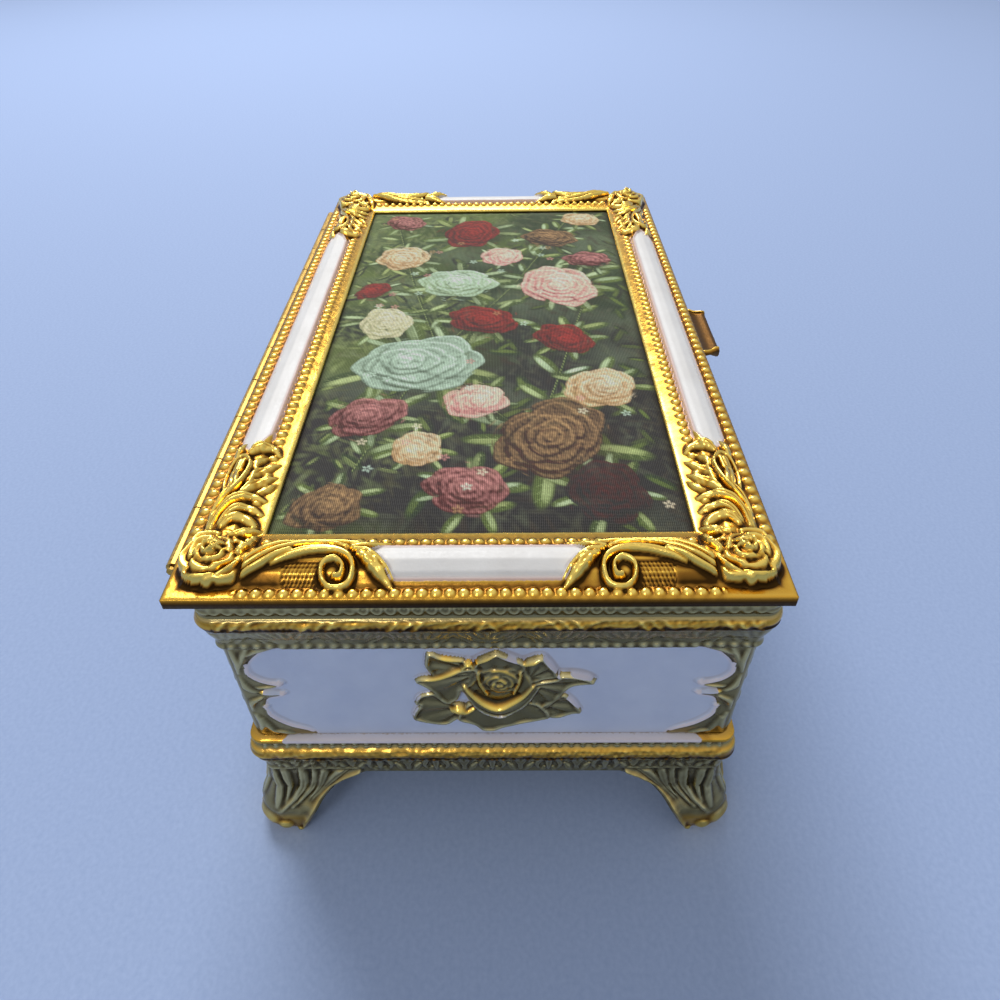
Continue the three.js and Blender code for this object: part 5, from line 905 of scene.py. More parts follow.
def make_base_frame():
    step = 0.25 * coarse
    x, y, nx, ny, along, side = round_box(step)
    half = np.where(side % 2 == 0, half_x, half_y)
    a = half - np.abs(along)
    foot_edge = arch_height(a)
    z_profile = [0, 0.8, 2.4, 5.4, 8.4, 9.6, 11, 12, 15, 20, 25.2, 26.4, 27.7, 28.6, 29.5, 30.4, 31.2, 31.9,
                 32.4, 33.3, 33.7, 34.2, 34.8]
    o_profile = [4.3, 4.9, 5.2, 5.25, 4.8, 4.2, 3.3, 2.7, 1.3, 0.85, 0.95, 1.3, 2.0, 2.65, 2.95, 2.95, 2.6,
                 1.8, 1.4, 1.3, 1.85, 2.05, 1.8]
    rows = int(36 / step)
    share = np.linspace(0, 1, rows)[:, None]
    z = foot_edge[None, :] + (base_top - foot_edge[None, :]) * share
    out = np.interp(z, z_profile, o_profile)
    wide_a = np.broadcast_to(a[None, :], z.shape)
    u = np.broadcast_to(along[None, :], z.shape)

    flared_x, flared_y = spread(x, y, nx, ny, out)
    from_corner = np.maximum(half_x + out - np.abs(flared_x), half_y + out - np.abs(flared_y))
    foot = Relief(from_corner, z.copy())
    for points in foot_strokes:
        foot.stroke(points, rib=0.25, power=0.6)
    above = z - foot_edge[None, :]
    run = np.gradient(foot_edge) / np.maximum(np.gradient(along), 1e-3)
    slope = 1 / np.sqrt(1 + np.minimum(np.abs(run), 4)**2)
    border = 0.9 * np.exp(-((above * slope[None, :] - 0.9) / 0.55)**2)
    on_foot = (wide_a < foot_spread - 1) & (wide_a > 3.5)
    for ka, kz, kr in [(2.6, 5.0, 2.4), (6.2, 3.4, 1.7)]:
        foot.stroke([(ka - 0.2, kz, kr, 0.9), (ka + 0.2, kz - 0.3, kr, 0.9)], power=0.6)
    fringe = Relief(repeat(u, leaf_pitch), z.copy())
    for points in ([(0, 28.0, 0.9, 0.7), (0, 25.6, 1.2, 0.95), (0, 23.0, 0.7, 0.8), (0, 21.0, 0.2, 0.4)],
                   [(1.0, 27.8, 0.7, 0.7), (2.1, 25.6, 0.9, 0.85), (2.6, 23.2, 0.6, 0.6), (2.0, 21.4, 0.2, 0.3)],
                   [(2.6, 28.0, 0.6, 0.7), (3.9, 26.4, 0.8, 0.8), (4.4, 24.6, 0.4, 0.4)],
                   [(4.8, 28.0, 0.7, 0.6), (5.4, 26.0, 0.9, 0.7), (6.3, 23.6, 0.8, 0.6), (6.2, 21.4, 0.3, 0.3)],
                   [(3.6, 23.8, 0.4, 0.4), (4.4, 22.4, 0.8, 0.6), (5.2, 21.0, 0.4, 0.4)],
                   [(0.9, 22.2, 0.5, 0.4), (1.2, 21.2, 0.7, 0.5), (1.6, 20.6, 0.4, 0.3)]):
        fringe.stroke(points, ribs=2, depth=0.3, power=0.6)
    cusp = Relief(repeat(u, 2.5), z.copy())
    cusp.stroke([(0, 32.9, 0.7, 0.45), (0, 32.5, 0.6, 0.4)])
    # over a foot the fringe ends at a small fillet, and the lobes start under it
    over_foot = 1 - ease(wide_a, 20, 23)
    fringe.height = fringe.height * (z > 20) * (1 - over_foot * (1 - ease(z, 22.0, 22.6)))
    fillet = 0.45 * np.exp(-((z - 21.8) / 0.35)**2) * over_foot
    foot.height = foot.height * (1 - 0.8 * ease(z, 21.0, 21.7))
    lift = np.maximum.reduce([foot.height, np.where(on_foot, border, 0), fringe.height, fillet, cusp.height])
    lift = soften(lift, 2) + 0.06 * unevenness(u + 77 * side[None, :], z, 3.5, 8) * ease(26 - z, 0, 1)
    dents = 0.14 * unevenness(u + 77 * side[None, :], 2.5 * z, 5, 16) + 0.07 * unevenness(u, z - 40 * side, 1.7, 19)
    lift = lift + dents * ease(z, 27.8, 28.8) * (1 - ease(z, 31.0, 32.0))
    lift = lift * ease(base_top - z, 0, 0.5) * ease(above, 0, 0.5)
    patina_and_shade = hollows(lift)
    ledge = ease(z, 33.2, 33.6) * ease(wide_a, 5.0, 6.6)
    on_roll = ease(z, 27.4, 28.2) * (1 - ease(z, 31.4, 32.2))
    # the lower half of the roll is made browner: painted shade
    patina_and_shade = patina_and_shade + 0.75 * ease(30.0 - z, 0, 1.5) * on_roll
    # bright gilt on the roll, the ledge, the toes and the arch border: wear with painted highlights
    wear_and_highlight = np.maximum.reduce([0.85 * on_roll, ease(z, 33.2, 33.6),
                                0.8 * ease(8 - z, 0, 2.5) * ease(12 - wide_a, 0, 3), 0.5 * np.where(on_foot, border, 0)])
    # back under the ledge, round the flange that carries the tray, and down to the lower edge
    flange = [(-1.85, base_top), (-2, base_top - 0.1), (-2, 24.15), (-2.1, 24.05), (-7.4, 24.05),
              (-7.5, 23.95), (-7.5, 22.15), (-7.4, 22.05), (-2.1, 22.05), (-2, 21.9)]
    fall = [foot_edge + (21.6 - foot_edge) * s for s in (0.9, 0.66, 0.33, 0.02)]
    inner_z = np.stack([np.full(len(a), up) for _, up in flange] + fall + [foot_edge])
    inner_out = np.stack([np.full(len(a), o) for o, _ in flange]
                         + [np.interp(level, [0, 8, 22], [-0.8, -1.6, -2.0]) for level in fall]
                         + [np.interp(foot_edge, z_profile, o_profile) - 0.5])
    points_z = np.vstack([z, inner_z])
    px, py = spread(x, y, nx, ny, np.vstack([out + lift, inner_out]))
    points = np.stack([px, py, points_z], -1)
    blank = np.zeros(inner_z.shape)
    # the inner faces get a darker brown (0.5): painted shade inside the base
    values = {"patina_and_shade": np.vstack([patina_and_shade, blank + 0.5]), "enamel": np.vstack([ledge, blank]),
              "blush": np.vstack([0.9 * ledge, blank]), "wear_and_highlight": np.vstack([wear_and_highlight, blank])}
    faces = grid_faces(points.shape[0], len(x), True, True)
    return make_mesh("cast_base", points.reshape(-1, 3), faces, values)


base = make_base_frame()
base.data.materials.append(gilt_with_painted_shade)
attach(base, "case")
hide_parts("base_frame")
print("base", len(base.data.polygons), "faces")

# %% [markdown]
# ## The printed cloth
#
# In reality a print on fine plain-woven cloth, stretched over card with a little padding. The design
# here is a general one: sprays of full-blown flowers in a dark garden, laid down as short brush dabs on
# a fine grid of points. The threads are in the material, at their real spacing of 0.38 mm.

# %%
class Picture:
    def __init__(self, x, y):
        self.x, self.y = x, y
        self.step = x[0, 1] - x[0, 0]
        self.colour = np.zeros(x.shape + (3,))

    def patch(self, cx, cy, reach):
        """The part of the cloth within reach of a place, and the points in it."""
        columns = np.nonzero(np.abs(self.x[0] - cx) < reach)[0]
        rows = np.nonzero(np.abs(self.y[:, 0] - cy) < reach)[0]
        part = (slice(rows[0], rows[-1] + 1), slice(columns[0], columns[-1] + 1))
        return part, self.x[part], self.y[part]

    def dab(self, cx, cy, long, wide, angle, tone, strength=1.0, soft=0.5):
        """One brush dab: an ellipse whose edge fades out."""
        reach = max(long, wide)
        columns = np.nonzero(np.abs(self.x[0] - cx) < reach)[0]
        rows = np.nonzero(np.abs(self.y[:, 0] - cy) < reach)[0]
        if not len(columns) or not len(rows):
            return
        part = (slice(rows[0], rows[-1] + 1), slice(columns[0], columns[-1] + 1))
        x, y = self.x[part] - cx, self.y[part] - cy
        u = (x * math.cos(angle) + y * math.sin(angle)) / long
        v = (y * math.cos(angle) - x * math.sin(angle)) / wide
        cover = (strength * ease(1 - np.hypot(u, v), 0, soft))[..., None]
        self.colour[part] = self.colour[part] * (1 - cover) + np.array(tone[:3]) * cover


def mix_tone(first, second, share):
    return [a + (b - a) * share for a, b in zip(first, second)]


def paint_flower(picture, rng, cx, cy, size, light, middle, dark):
    """A full-blown flower: petals are modelled like those of the cast roses, then shaded from above left."""
    picture.dab(cx - 0.1 * size, cy - 0.12 * size, size * 1.25, size * 1.1, 0.4, [0.35 * c for c in dark], 0.6, 0.8)
    part, x, y = picture.patch(cx, cy, size * 1.2)
    lean, narrow = rng.uniform(-0.4, 0.4), rng.uniform(0.72, 0.95)
    turned = rng.uniform(0, math.pi)
    across = (x - cx) * math.cos(turned) + (y - cy) * math.sin(turned)
    along = ((y - cy) * math.cos(turned) - (x - cx) * math.sin(turned)) / narrow
    form = Relief(across, along)
    for reach, count, edge in ((1.0, 6, 0.9), (0.84, 5, 1.5), (0.66, 5, 2.2), (0.48, 4, 2.9), (0.31, 3, 3.5), (0.16, 3, 4.0)):
        first = rng.uniform(0, 360)
        shift = (1 - reach) * size * lean * 0.6
        for i in range(count):
            angle = first + 360 * i / count + rng.uniform(-12, 12)
            form.petal((shift, -shift), angle, 230 / count, size * reach * rng.uniform(0.92, 1.04), edge * size / 7,
                       (edge - 0.75) * size / 7, lip=0.05 * size, tilt=0.06 * size)
    step = picture.step
    slope_y, slope_x = np.gradient(soften(form.height, 4), step)
    lit = (0.62 - 0.55 * slope_x + 0.25 * slope_y) / np.sqrt(1 + slope_x**2 + slope_y**2)
    deep = hollows(soften(form.height, 2) / size * 5, 8)
    share = np.clip(0.42 * lit + 0.36 + 0.32 * form.height / size - 0.28 * deep, 0, 1)
    share = np.clip(share + 0.13 * unevenness(x, 2 * y, 2.2, int(size * 10)), 0, 1)[..., None]
    low, mid, high = [np.array(tone[:3]) for tone in (dark, middle, light)]
    tone = np.where(share < 0.5, low + (mid - low) * share * 2, mid + (high - mid) * (share - 0.5) * 2)
    cover = 0.94 * ease(form.height, 0.05 * size / 7, 0.5 * size / 7)[..., None]
    picture.colour[part] = picture.colour[part] * (1 - cover) + tone * cover


def paint_leaf(picture, rng, cx, cy, size, angle, light, dark):
    picture.dab(cx, cy, size, size * 0.36, angle, dark, 0.9, 0.35)
    side = angle + math.pi / 2
    picture.dab(cx + 0.11 * size * math.cos(side), cy + 0.11 * size * math.sin(side), size * 0.85,
                size * 0.2, angle, mix_tone(dark, light, rng.uniform(0.4, 1.0)), 0.85, 0.6)
    picture.dab(cx, cy, size * 0.9, size * 0.035, angle, mix_tone(dark, light, 0.8), 0.6, 0.5)
    for k in (-0.45, -0.15, 0.15, 0.45):
        for way in (-1, 1):
            vein = angle + way * 0.8
            picture.dab(cx + k * size * math.cos(angle) + 0.14 * size * math.cos(vein),
                        cy + k * size * math.sin(angle) + 0.14 * size * math.sin(vein),
                        size * 0.16, size * 0.02, vein, light, 0.3, 0.6)


def paint_garden(x, y):
    """The whole design, over a cloth that reaches 80 by 40 mm from its middle."""
    rng = np.random.default_rng(21)
    picture = Picture(x, y)
    olive, moss, pale_green = colour("#6F7F45"), colour("#3A4A33"), colour("#B7C285")
    brown, charcoal, haze = colour("#46352F"), colour("#353436"), colour("#74806A")
    cream, mint, rose_pink = colour("#EADFC4"), colour("#C8DECB"), colour("#CB9590")
    red, tan, wine = colour("#A8423C"), colour("#B3946C"), colour("#5C2C2E")
    share = ease(x / 160 + 0.5 + 0.1 * unevenness(x, y, 60, 31), 0.25, 0.75)[..., None]
    ground = np.array(charcoal[:3]) * (1 - share) + np.array(moss[:3]) * share
    glow = ease(unevenness(x, y, 45, 32) + (y - 5) / 60 + x / 200, 0.05, 0.9)[..., None]
    picture.colour[:] = ground * (1 - 0.65 * glow) + np.array(olive[:3]) * 0.65 * glow
    mist = (0.55 * ease(unevenness(x, y, 38, 35) + x / 260, -0.1, 0.9))[..., None]
    picture.colour[:] = picture.colour * (1 - mist) + np.array(haze[:3]) * mist
    for _ in range(2400 // int(coarse * coarse)):
        px, py = rng.uniform(-80, 80), rng.uniform(-40, 40)
        lit = ease(np.array((py + 8) / 50 + px / 220 + 0.3 * math.sin(px * 0.11 + py * 0.07)))
        first = mix_tone(charcoal if px < -20 else moss, brown, rng.uniform(0, 1))
        tone = mix_tone(first, mix_tone(olive, pale_green, rng.uniform(0, 0.7)), float(lit) * rng.uniform(0.3, 1))
        tone = mix_tone(tone, haze, rng.uniform(0, 0.5))
        picture.dab(px, py, rng.uniform(1.2, 4.5), rng.uniform(0.4, 1.4), rng.uniform(-0.6, 1.6), tone, 0.5, 0.8)
    for _ in range(160):
        px, py = rng.uniform(-80, 80), rng.uniform(-40, 40)
        lit = float(ease(np.array((py + 14) / 50 + px / 260 + 0.3 * math.sin(px * 0.11 + py * 0.07))))
        light = mix_tone(olive, pale_green, lit * rng.uniform(0.2, 0.9))
        paint_leaf(picture, rng, px, py, rng.uniform(2.5, 5.5), rng.uniform(0, 6.28), light, mix_tone(charcoal, moss, rng.uniform(0, 1)))
    stems = [((-74, -30), (-30, 4), (10, 18), (66, 30)), ((-60, 26), (-20, 14), (24, -8), (72, -26)),
             ((-76, 4), (-46, -12), (0, -24), (40, -33))]
    for stem in stems:
        line = smooth_line(stem, 22)
        for (px, py), (qx, qy) in zip(line[:-1], line[1:]):
            turn = math.atan2(qy - py, qx - px)
            picture.dab(px, py, 2.6, 0.42, turn, moss, 0.9, 0.4)
            picture.dab(px, py + 0.15, 2.4, 0.16, turn, pale_green, 0.5, 0.5)
        for i in range(2, len(line) - 1, 5):
            px, py = line[i]
            turn = math.atan2(line[i + 1][1] - py, line[i + 1][0] - px)
            for way in (-1, 1):
                angle = turn + way * rng.uniform(0.5, 1.2)
                size = rng.uniform(3.6, 6.2)
                light = mix_tone(pale_green, mint, rng.uniform(0, 0.7))
                paint_leaf(picture, rng, px + size * math.cos(angle), py + size * math.sin(angle), size,
                           angle, light, mix_tone(moss, olive, rng.uniform(0.1, 0.9)))
    sprays = [
        (-50, -15, 15.0, tan, brown, wine), (-31, -27, 9.5, cream, tan, brown), (-67, 3, 9.0, rose_pink, wine, charcoal),
        (-68, -25, 9.5, wine, charcoal, charcoal), (-36, 2, 8.0, cream, rose_pink, wine),
        (-20, 16, 16.0, mint, mix_tone(mint, moss, 0.6), moss), (-42, 26, 9.5, rose_pink, wine, charcoal),
        (2, 1, 10.0, red, wine, charcoal), (1, 27, 9.0, cream, mix_tone(cream, olive, 0.6), moss),
        (-8, -20, 8.5, red, wine, charcoal), (22, -20, 13.0, cream, rose_pink, wine),
        (40, -30, 7.5, rose_pink, wine, charcoal), (24, 9, 12.0, mint, mix_tone(mint, olive, 0.6), moss),
        (42, 26, 9.0, cream, tan, brown), (60, 6, 12.0, red, wine, charcoal), (56, -19, 9.0, tan, brown, charcoal),
        (70, 28, 8.0, rose_pink, wine, moss), (72, -30, 7.0, cream, tan, brown), (-72, 30, 8.0, tan, brown, charcoal),
        (20, 33, 6.0, red, wine, charcoal), (-54, 14, 6.5, cream, tan, brown), (42, -4, 7.0, cream, rose_pink, wine),
    ]
    for px, py, size, *tones in sprays:
        for i in range(7):
            angle = i * 0.9 + rng.uniform(-0.3, 0.3)
            reach, long = size * rng.uniform(0.85, 1.15), size * rng.uniform(0.38, 0.55)
            light = mix_tone(pale_green, mint, rng.uniform(0, 0.6))
            paint_leaf(picture, rng, px + reach * math.cos(angle), py + reach * math.sin(angle), long,
                       angle + rng.uniform(-0.3, 0.3), light, mix_tone(moss, olive, rng.uniform(0.1, 0.9)))
    for px, py, size, light, middle, dark in sprays:
        paint_flower(picture, rng, px, py, size, light, middle, dark)
        # broken dabs of the lighter and darker tone over the petals, as a brush leaves them
        for _ in range(int(5 * size)):
            turn, out = rng.uniform(0, 2 * math.pi), size * rng.uniform(0.15, 0.95)
            tone = mix_tone(middle, [light, dark][rng.integers(2)], rng.uniform(0.4, 1))
            picture.dab(px + out * math.cos(turn), py + out * math.sin(turn), rng.uniform(0.8, 2.4),
                        rng.uniform(0.2, 0.5), turn + 1.3, tone, 0.4, 0.8)
    for _ in range(40):
        px, py = rng.uniform(-76, 76), rng.uniform(-37, 37)
        tone = [cream, mint, rose_pink, tan][rng.integers(4)]
        for k in range(5):
            angle = k * 1.257 + px
            picture.dab(px + 0.75 * math.cos(angle), py + 0.75 * math.sin(angle), 0.7, 0.45, angle, tone, 0.6, 0.6)
    shade = 2.15 * (1 + 0.12 * unevenness(x, y, 12, 33)[..., None])
    return np.clip(picture.colour**1.2 * shade, 0, 1)


def make_cloth():
    half_w, half_d = lid_x - pocket_inset - 0.3, lid_y - pocket_inset - 0.3
    step = 0.3 * coarse
    gx = np.linspace(-half_w, half_w, int(2 * half_w / step))
    gy = np.linspace(-half_d, half_d, int(2 * half_d / step))
    x, y = np.meshgrid(gx, gy)
    inset = np.minimum(lid_x - np.abs(x), lid_y - np.abs(y)) - frame_border
    rise = 0.95 * (1 - np.exp(-np.maximum(inset, 0) / 5.5))
    slack = 0.035 * unevenness(x, y, 16, 41) * ease(inset, 1, 8)
    z = rim_top + 0.27 + rise + slack
    tones = paint_garden(x, y)
    # the cloth is darker within 1.6 mm of the frame
    edge_darkening = ease(1.6 - inset, 0, 1.6)
    faces = grid_faces(len(gy), len(gx), False, False)
    points = np.stack([x, y + lid_shift, z], -1).reshape(-1, 3)
    return make_mesh("printed_cloth", points, faces, {"edge_darkening": edge_darkening}, {"print": tones.reshape(-1, 3)})


def woven_print(name, pitch):
    """Plain weave: threads over and under each other, dyed through the print, with a painted highlight on the crowns
    and painted shade between the threads.
    """
    material, tree, shader = new_material(name)
    where = node(tree, "SeparateXYZ", i0=node(tree, "TexCoord").outputs["Object"])
    wobble = scale_value(tree, place_noise(tree, 6), 0, 1, -0.25, 0.25)
    waves = []
    for axis in (0, 1):
        turns = node(tree, "Math", {"operation": "MULTIPLY_ADD"}, i0=where.outputs[axis],
                     i1=math.pi / (pitch * MM), i2=wobble).outputs[0]
        waves.append(node(tree, "Math", {"operation": "SINE"}, i0=turns).outputs[0])
    crossing = node(tree, "Math", {"operation": "MULTIPLY"}, i0=waves[0], i1=waves[1]).outputs[0]
    thread = scale_value(tree, crossing, -1, 1, 0, 1)
    ridge_x = node(tree, "Math", {"operation": "ABSOLUTE"}, i0=waves[0]).outputs[0]
    ridge_y = node(tree, "Math", {"operation": "ABSOLUTE"}, i0=waves[1]).outputs[0]
    over = node(tree, "Mix", i0=thread, i2=ridge_x, i3=ridge_y).outputs[0]
    ink = node(tree, "Attribute", {"attribute_name": "print"}).outputs["Color"]
    # by the height of the thread: crowns paler, a painted highlight, and gaps darker, painted shade
    bright = blend_colour(tree, 0.05, ink, colour("#E6E2D0"))
    deep = blend_colour(tree, 0.78, ink, colour("#4A4642"), "MULTIPLY")
    face = blend_colour(tree, scale_value(tree, over, 0.25, 0.95, 0, 1), deep, bright)
    fuzz = scale_value(tree, place_noise(tree, 0.35), 0.3, 0.7, 0.82, 1.12)
    face = blend_colour(tree, 1.0, face, node(tree, "CombineColor", i0=fuzz, i1=fuzz, i2=fuzz).outputs[0], "MULTIPLY")
    edge_darkening = node(tree, "Attribute", {"attribute_name": "edge_darkening"}).outputs["Fac"]
    # darker towards the edge, next to the frame
    face = blend_colour(tree, scale_value(tree, edge_darkening, 0, 1, 0, 0.55), face, colour("#241C16"))
    tree.links.new(face, shader.inputs["Base Color"])
    bump = node(tree, "Bump", Strength=0.7, Distance=0.00009, Height=over)
    tree.links.new(bump.outputs[0], shader.inputs["Normal"])
    rough = scale_value(tree, over, 0, 1, 0.9, 0.72)
    tree.links.new(rough, shader.inputs["Roughness"])
    shader.inputs["Specular IOR Level"].default_value = 0.2
    shader.inputs["Sheen Weight"].default_value = 0.05
    shader.inputs["Sheen Roughness"].default_value = 0.4
    return material


cloth = make_cloth()
thickness = cloth.modifiers.new("thickness", "SOLIDIFY")
thickness.thickness = 0.45 * MM
thickness.offset = -1
cloth.data.materials.append(woven_print("printed_plain_weave_rayon", 0.38))
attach(cloth, "lid")
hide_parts("picture_fabric")

# %% [markdown]
# ## The padded lining of the lid
#
# In reality thin satin over wadding and card, glued into the pocket under the lid, tight at its edge and
# full in the middle. It is a dome that falls off quickly at the edge, with fine pulls that run from
# the edge inwards and soft slack across the middle.

# %%
def make_lining():
    half_w, half_d = lid_x - pocket_inset - 0.3, lid_y - pocket_inset - 0.3
    step = 0.8 * coarse
    gx = np.linspace(-half_w, half_w, int(2 * half_w / step))
    gy = np.linspace(-half_d, half_d, int(2 * half_d / step))
    x, y = np.meshgrid(gx, gy)
    inset = np.minimum(half_w - np.abs(x), half_d - np.abs(y))
    along = np.where(half_w - np.abs(x) < half_d - np.abs(y), y, x)
    dome = 1.75 * ease(inset, 9, 24)
    pulls = 0.13 * np.sin(along * 0.9 + 2 * unevenness(x, y, 20, 51)) * ease(inset, 9, 12) * ease(26 - inset, 0, 14)
    slack = 0.16 * unevenness(x, y, 18, 52) * ease(inset, 12, 24)
    low = 81.2 - dome - pulls - slack
    top = np.full(x.shape, 81.85)
    edge = (np.abs(np.abs(x) - half_w) < 1e-6) | (np.abs(np.abs(y) - half_d) < 1e-6)
    low = np.where(edge, 81.35, low)
    rows, columns = x.shape
    lower = np.stack([x, y + lid_shift, low], -1).reshape(-1, 3)
    upper = np.stack([x, y + lid_shift, top], -1).reshape(-1, 3)
    down = grid_faces(rows, columns, False, False)[:, ::-1]
    ahead = grid_faces(rows, columns, False, False) + rows * columns
    index = np.arange(rows * columns).reshape(rows, columns)
    rim = np.concatenate([index[0, :-1], index[:-1, -1], index[-1, :0:-1], index[:0:-1, 0]])
    after = np.roll(rim, -1)
    sides = np.stack([rim, after, after + rows * columns, rim + rows * columns], -1)
    return make_mesh("satin_lining", np.vstack([lower, upper]), np.vstack([down, ahead, sides]))


def satin(name, deep_code, light_code):
    material, tree, shader = new_material(name)
    where = node(tree, "TexCoord").outputs["Object"]
    stretched = node(tree, "Mapping", Vector=where, Scale=(9000, 900, 2000))
    thread = node(tree, "TexNoise", Vector=stretched.outputs[0], Scale=1.0, Detail=2.0).outputs["Fac"]
    cloudy = place_noise(tree, 14)
    tone = ramp(tree, thread, [(0.3, deep_code), (0.7, light_code)])
    tone = blend_colour(tree, scale_value(tree, cloudy, 0.3, 0.7, 0, 0.4), tone, colour(deep_code))
    tree.links.new(tone, shader.inputs["Base Color"])
    tree.links.new(scale_value(tree, thread, 0.3, 0.7, 0.3, 0.45), shader.inputs["Roughness"])
    bump = node(tree, "Bump", Strength=0.25, Distance=0.00004, Height=thread)
    tree.links.new(bump.outputs[0], shader.inputs["Normal"])
    shader.inputs["Anisotropic"].default_value = 0.5
    shader.inputs["Sheen Weight"].default_value = 0.3
    return material


lining = make_lining()
lining.data.materials.append(satin("red_acetate_satin", "#6E1424", "#A5263C"))
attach(lining, "lid")
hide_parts("lid_lining")

# %% [markdown]
# ## The ring cushion
#
# In reality a strip of velvet folded over foam rods, so each roll is full on top and pinched where it
# meets the next. It is swollen by a short cloth simulation with air pressure, and held at its foot.

# %%
def velvet(name, deep_code, light_code):
    """Short pile, brushed in patches. Its light edges come from the sheen."""
    material, tree, shader = new_material(name)
    pile = place_noise(tree, 0.35, 2.0)
    brushed = place_noise(tree, 11, 2.0)
    tone = ramp(tree, pile, [(0.25, deep_code), (0.75, light_code)])
    tone = blend_colour(tree, scale_value(tree, brushed, 0.35, 0.65, 0, 0.5), tone, colour(deep_code))
    tree.links.new(tone, shader.inputs["Base Color"])
    shader.inputs["Roughness"].default_value = 0.95
    shader.inputs["Sheen Weight"].default_value = 0.8
    shader.inputs["Sheen Roughness"].default_value = 0.35
    shader.inputs["Sheen Tint"].default_value = colour(light_code)
    bump = node(tree, "Bump", Strength=0.5, Distance=0.00015, Height=pile)
    tree.links.new(bump.outputs[0], shader.inputs["Normal"])
    return material


pile_velvet = velvet("red_cotton_velvet", "#5A0E1E", "#A32A44")
flock = velvet("red_rayon_flock_on_moulding", "#560D1C", "#962540")


def make_ring_cushion():
    low, high = [np.array(c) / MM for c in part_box("ring_cushion")]
    rolls = 6
    pitch = (high[1] - low[1]) / rolls
    around = 26
    length = int((high[0] - low[0]) / 2.2)
    pieces, tops, count = [], [], 0
    faces = []
    for roll in range(rolls):
        centre = low[1] + (roll + 0.5) * pitch
        turn = np.linspace(0, 2 * math.pi, around, endpoint=False)
        shares = np.concatenate([[0.0, 0.02], np.linspace(0.05, 0.95, length), [0.98, 1.0]])
        end = np.minimum(np.minimum(shares, 1 - shares) * (high[0] - low[0]) / 3.0, 1)
        pinch = np.sqrt(1 - (1 - np.clip(end, 0.12, 1))**2)
        for share, narrow in zip(shares, pinch):
            x = low[0] + 0.6 + share * (high[0] - low[0] - 1.2)
            wide = (pitch / 2 - 0.7) * narrow
            tall = (high[2] - low[2] - 1.2) / 2 * (0.55 + 0.45 * narrow)
            y = centre + wide * np.sign(np.cos(turn)) * np.abs(np.cos(turn))**0.75
            z = low[2] + tall + 0.1 + tall * np.sign(np.sin(turn)) * np.abs(np.sin(turn))**0.7
            pieces.append(np.stack([np.full(around, x), y, z], -1))
        ring_count = len(shares)
        faces.append(grid_faces(ring_count, around, False, True)[:, ::-1] + count)
        for base_index, flip in ((count, False), (count + (ring_count - 1) * around, True)):
            half = around // 2
            cap = np.array([[base_index + i, base_index + i + 1, base_index + (around - i - 2) % around,
                             base_index + (around - i - 1) % around] for i in range(half - 1)])
            faces.append(cap if flip else cap[:, ::-1])
        count += ring_count * around
    return make_mesh("velvet_ring_rolls", np.vstack(pieces), np.vstack(faces))


def swell(piece, pressure, cap, held_below):
    """A short cloth run: air pressure fills the piece, points under held_below stay, none moves past cap."""
    mesh = piece.data
    before = np.empty(len(mesh.vertices) * 3)
    mesh.vertices.foreach_get("co", before)
    before = before.reshape(-1, 3)
    held = piece.vertex_groups.new(name="held")
    held.add([int(i) for i in np.nonzero(before[:, 2] < held_below)[0]], 1.0, "REPLACE")
    cloth = piece.modifiers.new("swell", "CLOTH")
    cloth.settings.quality = 5
    cloth.settings.use_pressure = True
    cloth.settings.uniform_pressure_force = pressure
    cloth.settings.vertex_group_mass = "held"
    cloth.settings.effector_weights.gravity = 0
    scene = bpy.context.scene
    for step in range(1, 17):
        scene.frame_set(step)
    solved = piece.evaluated_get(bpy.context.evaluated_depsgraph_get()).to_mesh()
    after = np.empty(len(solved.vertices) * 3)
    solved.vertices.foreach_get("co", after)
    after = after.reshape(-1, 3)
    piece.modifiers.remove(cloth)
    scene.frame_set(1)
    move = after - before
    far = np.linalg.norm(move, axis=1, keepdims=True)
    move = move * np.minimum(1, cap / np.maximum(far, 1e-9))
    mesh.vertices.foreach_set("co", (before + np.nan_to_num(move)).astype(np.float32).ravel())
    mesh.update()
    print("swell moved up to", round(float(far.max()) / MM, 2), "mm")


ring_rolls = make_ring_cushion()
swell(ring_rolls, 3.0, 0.0009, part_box("ring_cushion")[0][2] + 0.003)
softer = ring_rolls.modifiers.new("soft", "SUBSURF")
softer.levels = softer.render_levels = 1
ring_rolls.data.materials.append(pile_velvet)
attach(ring_rolls, "case")
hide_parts("ring_cushion")

# %% [markdown]
# ## The clasp
#
# In reality a stamped tab with its two ends turned up and its outer edge curled down for the thumb.

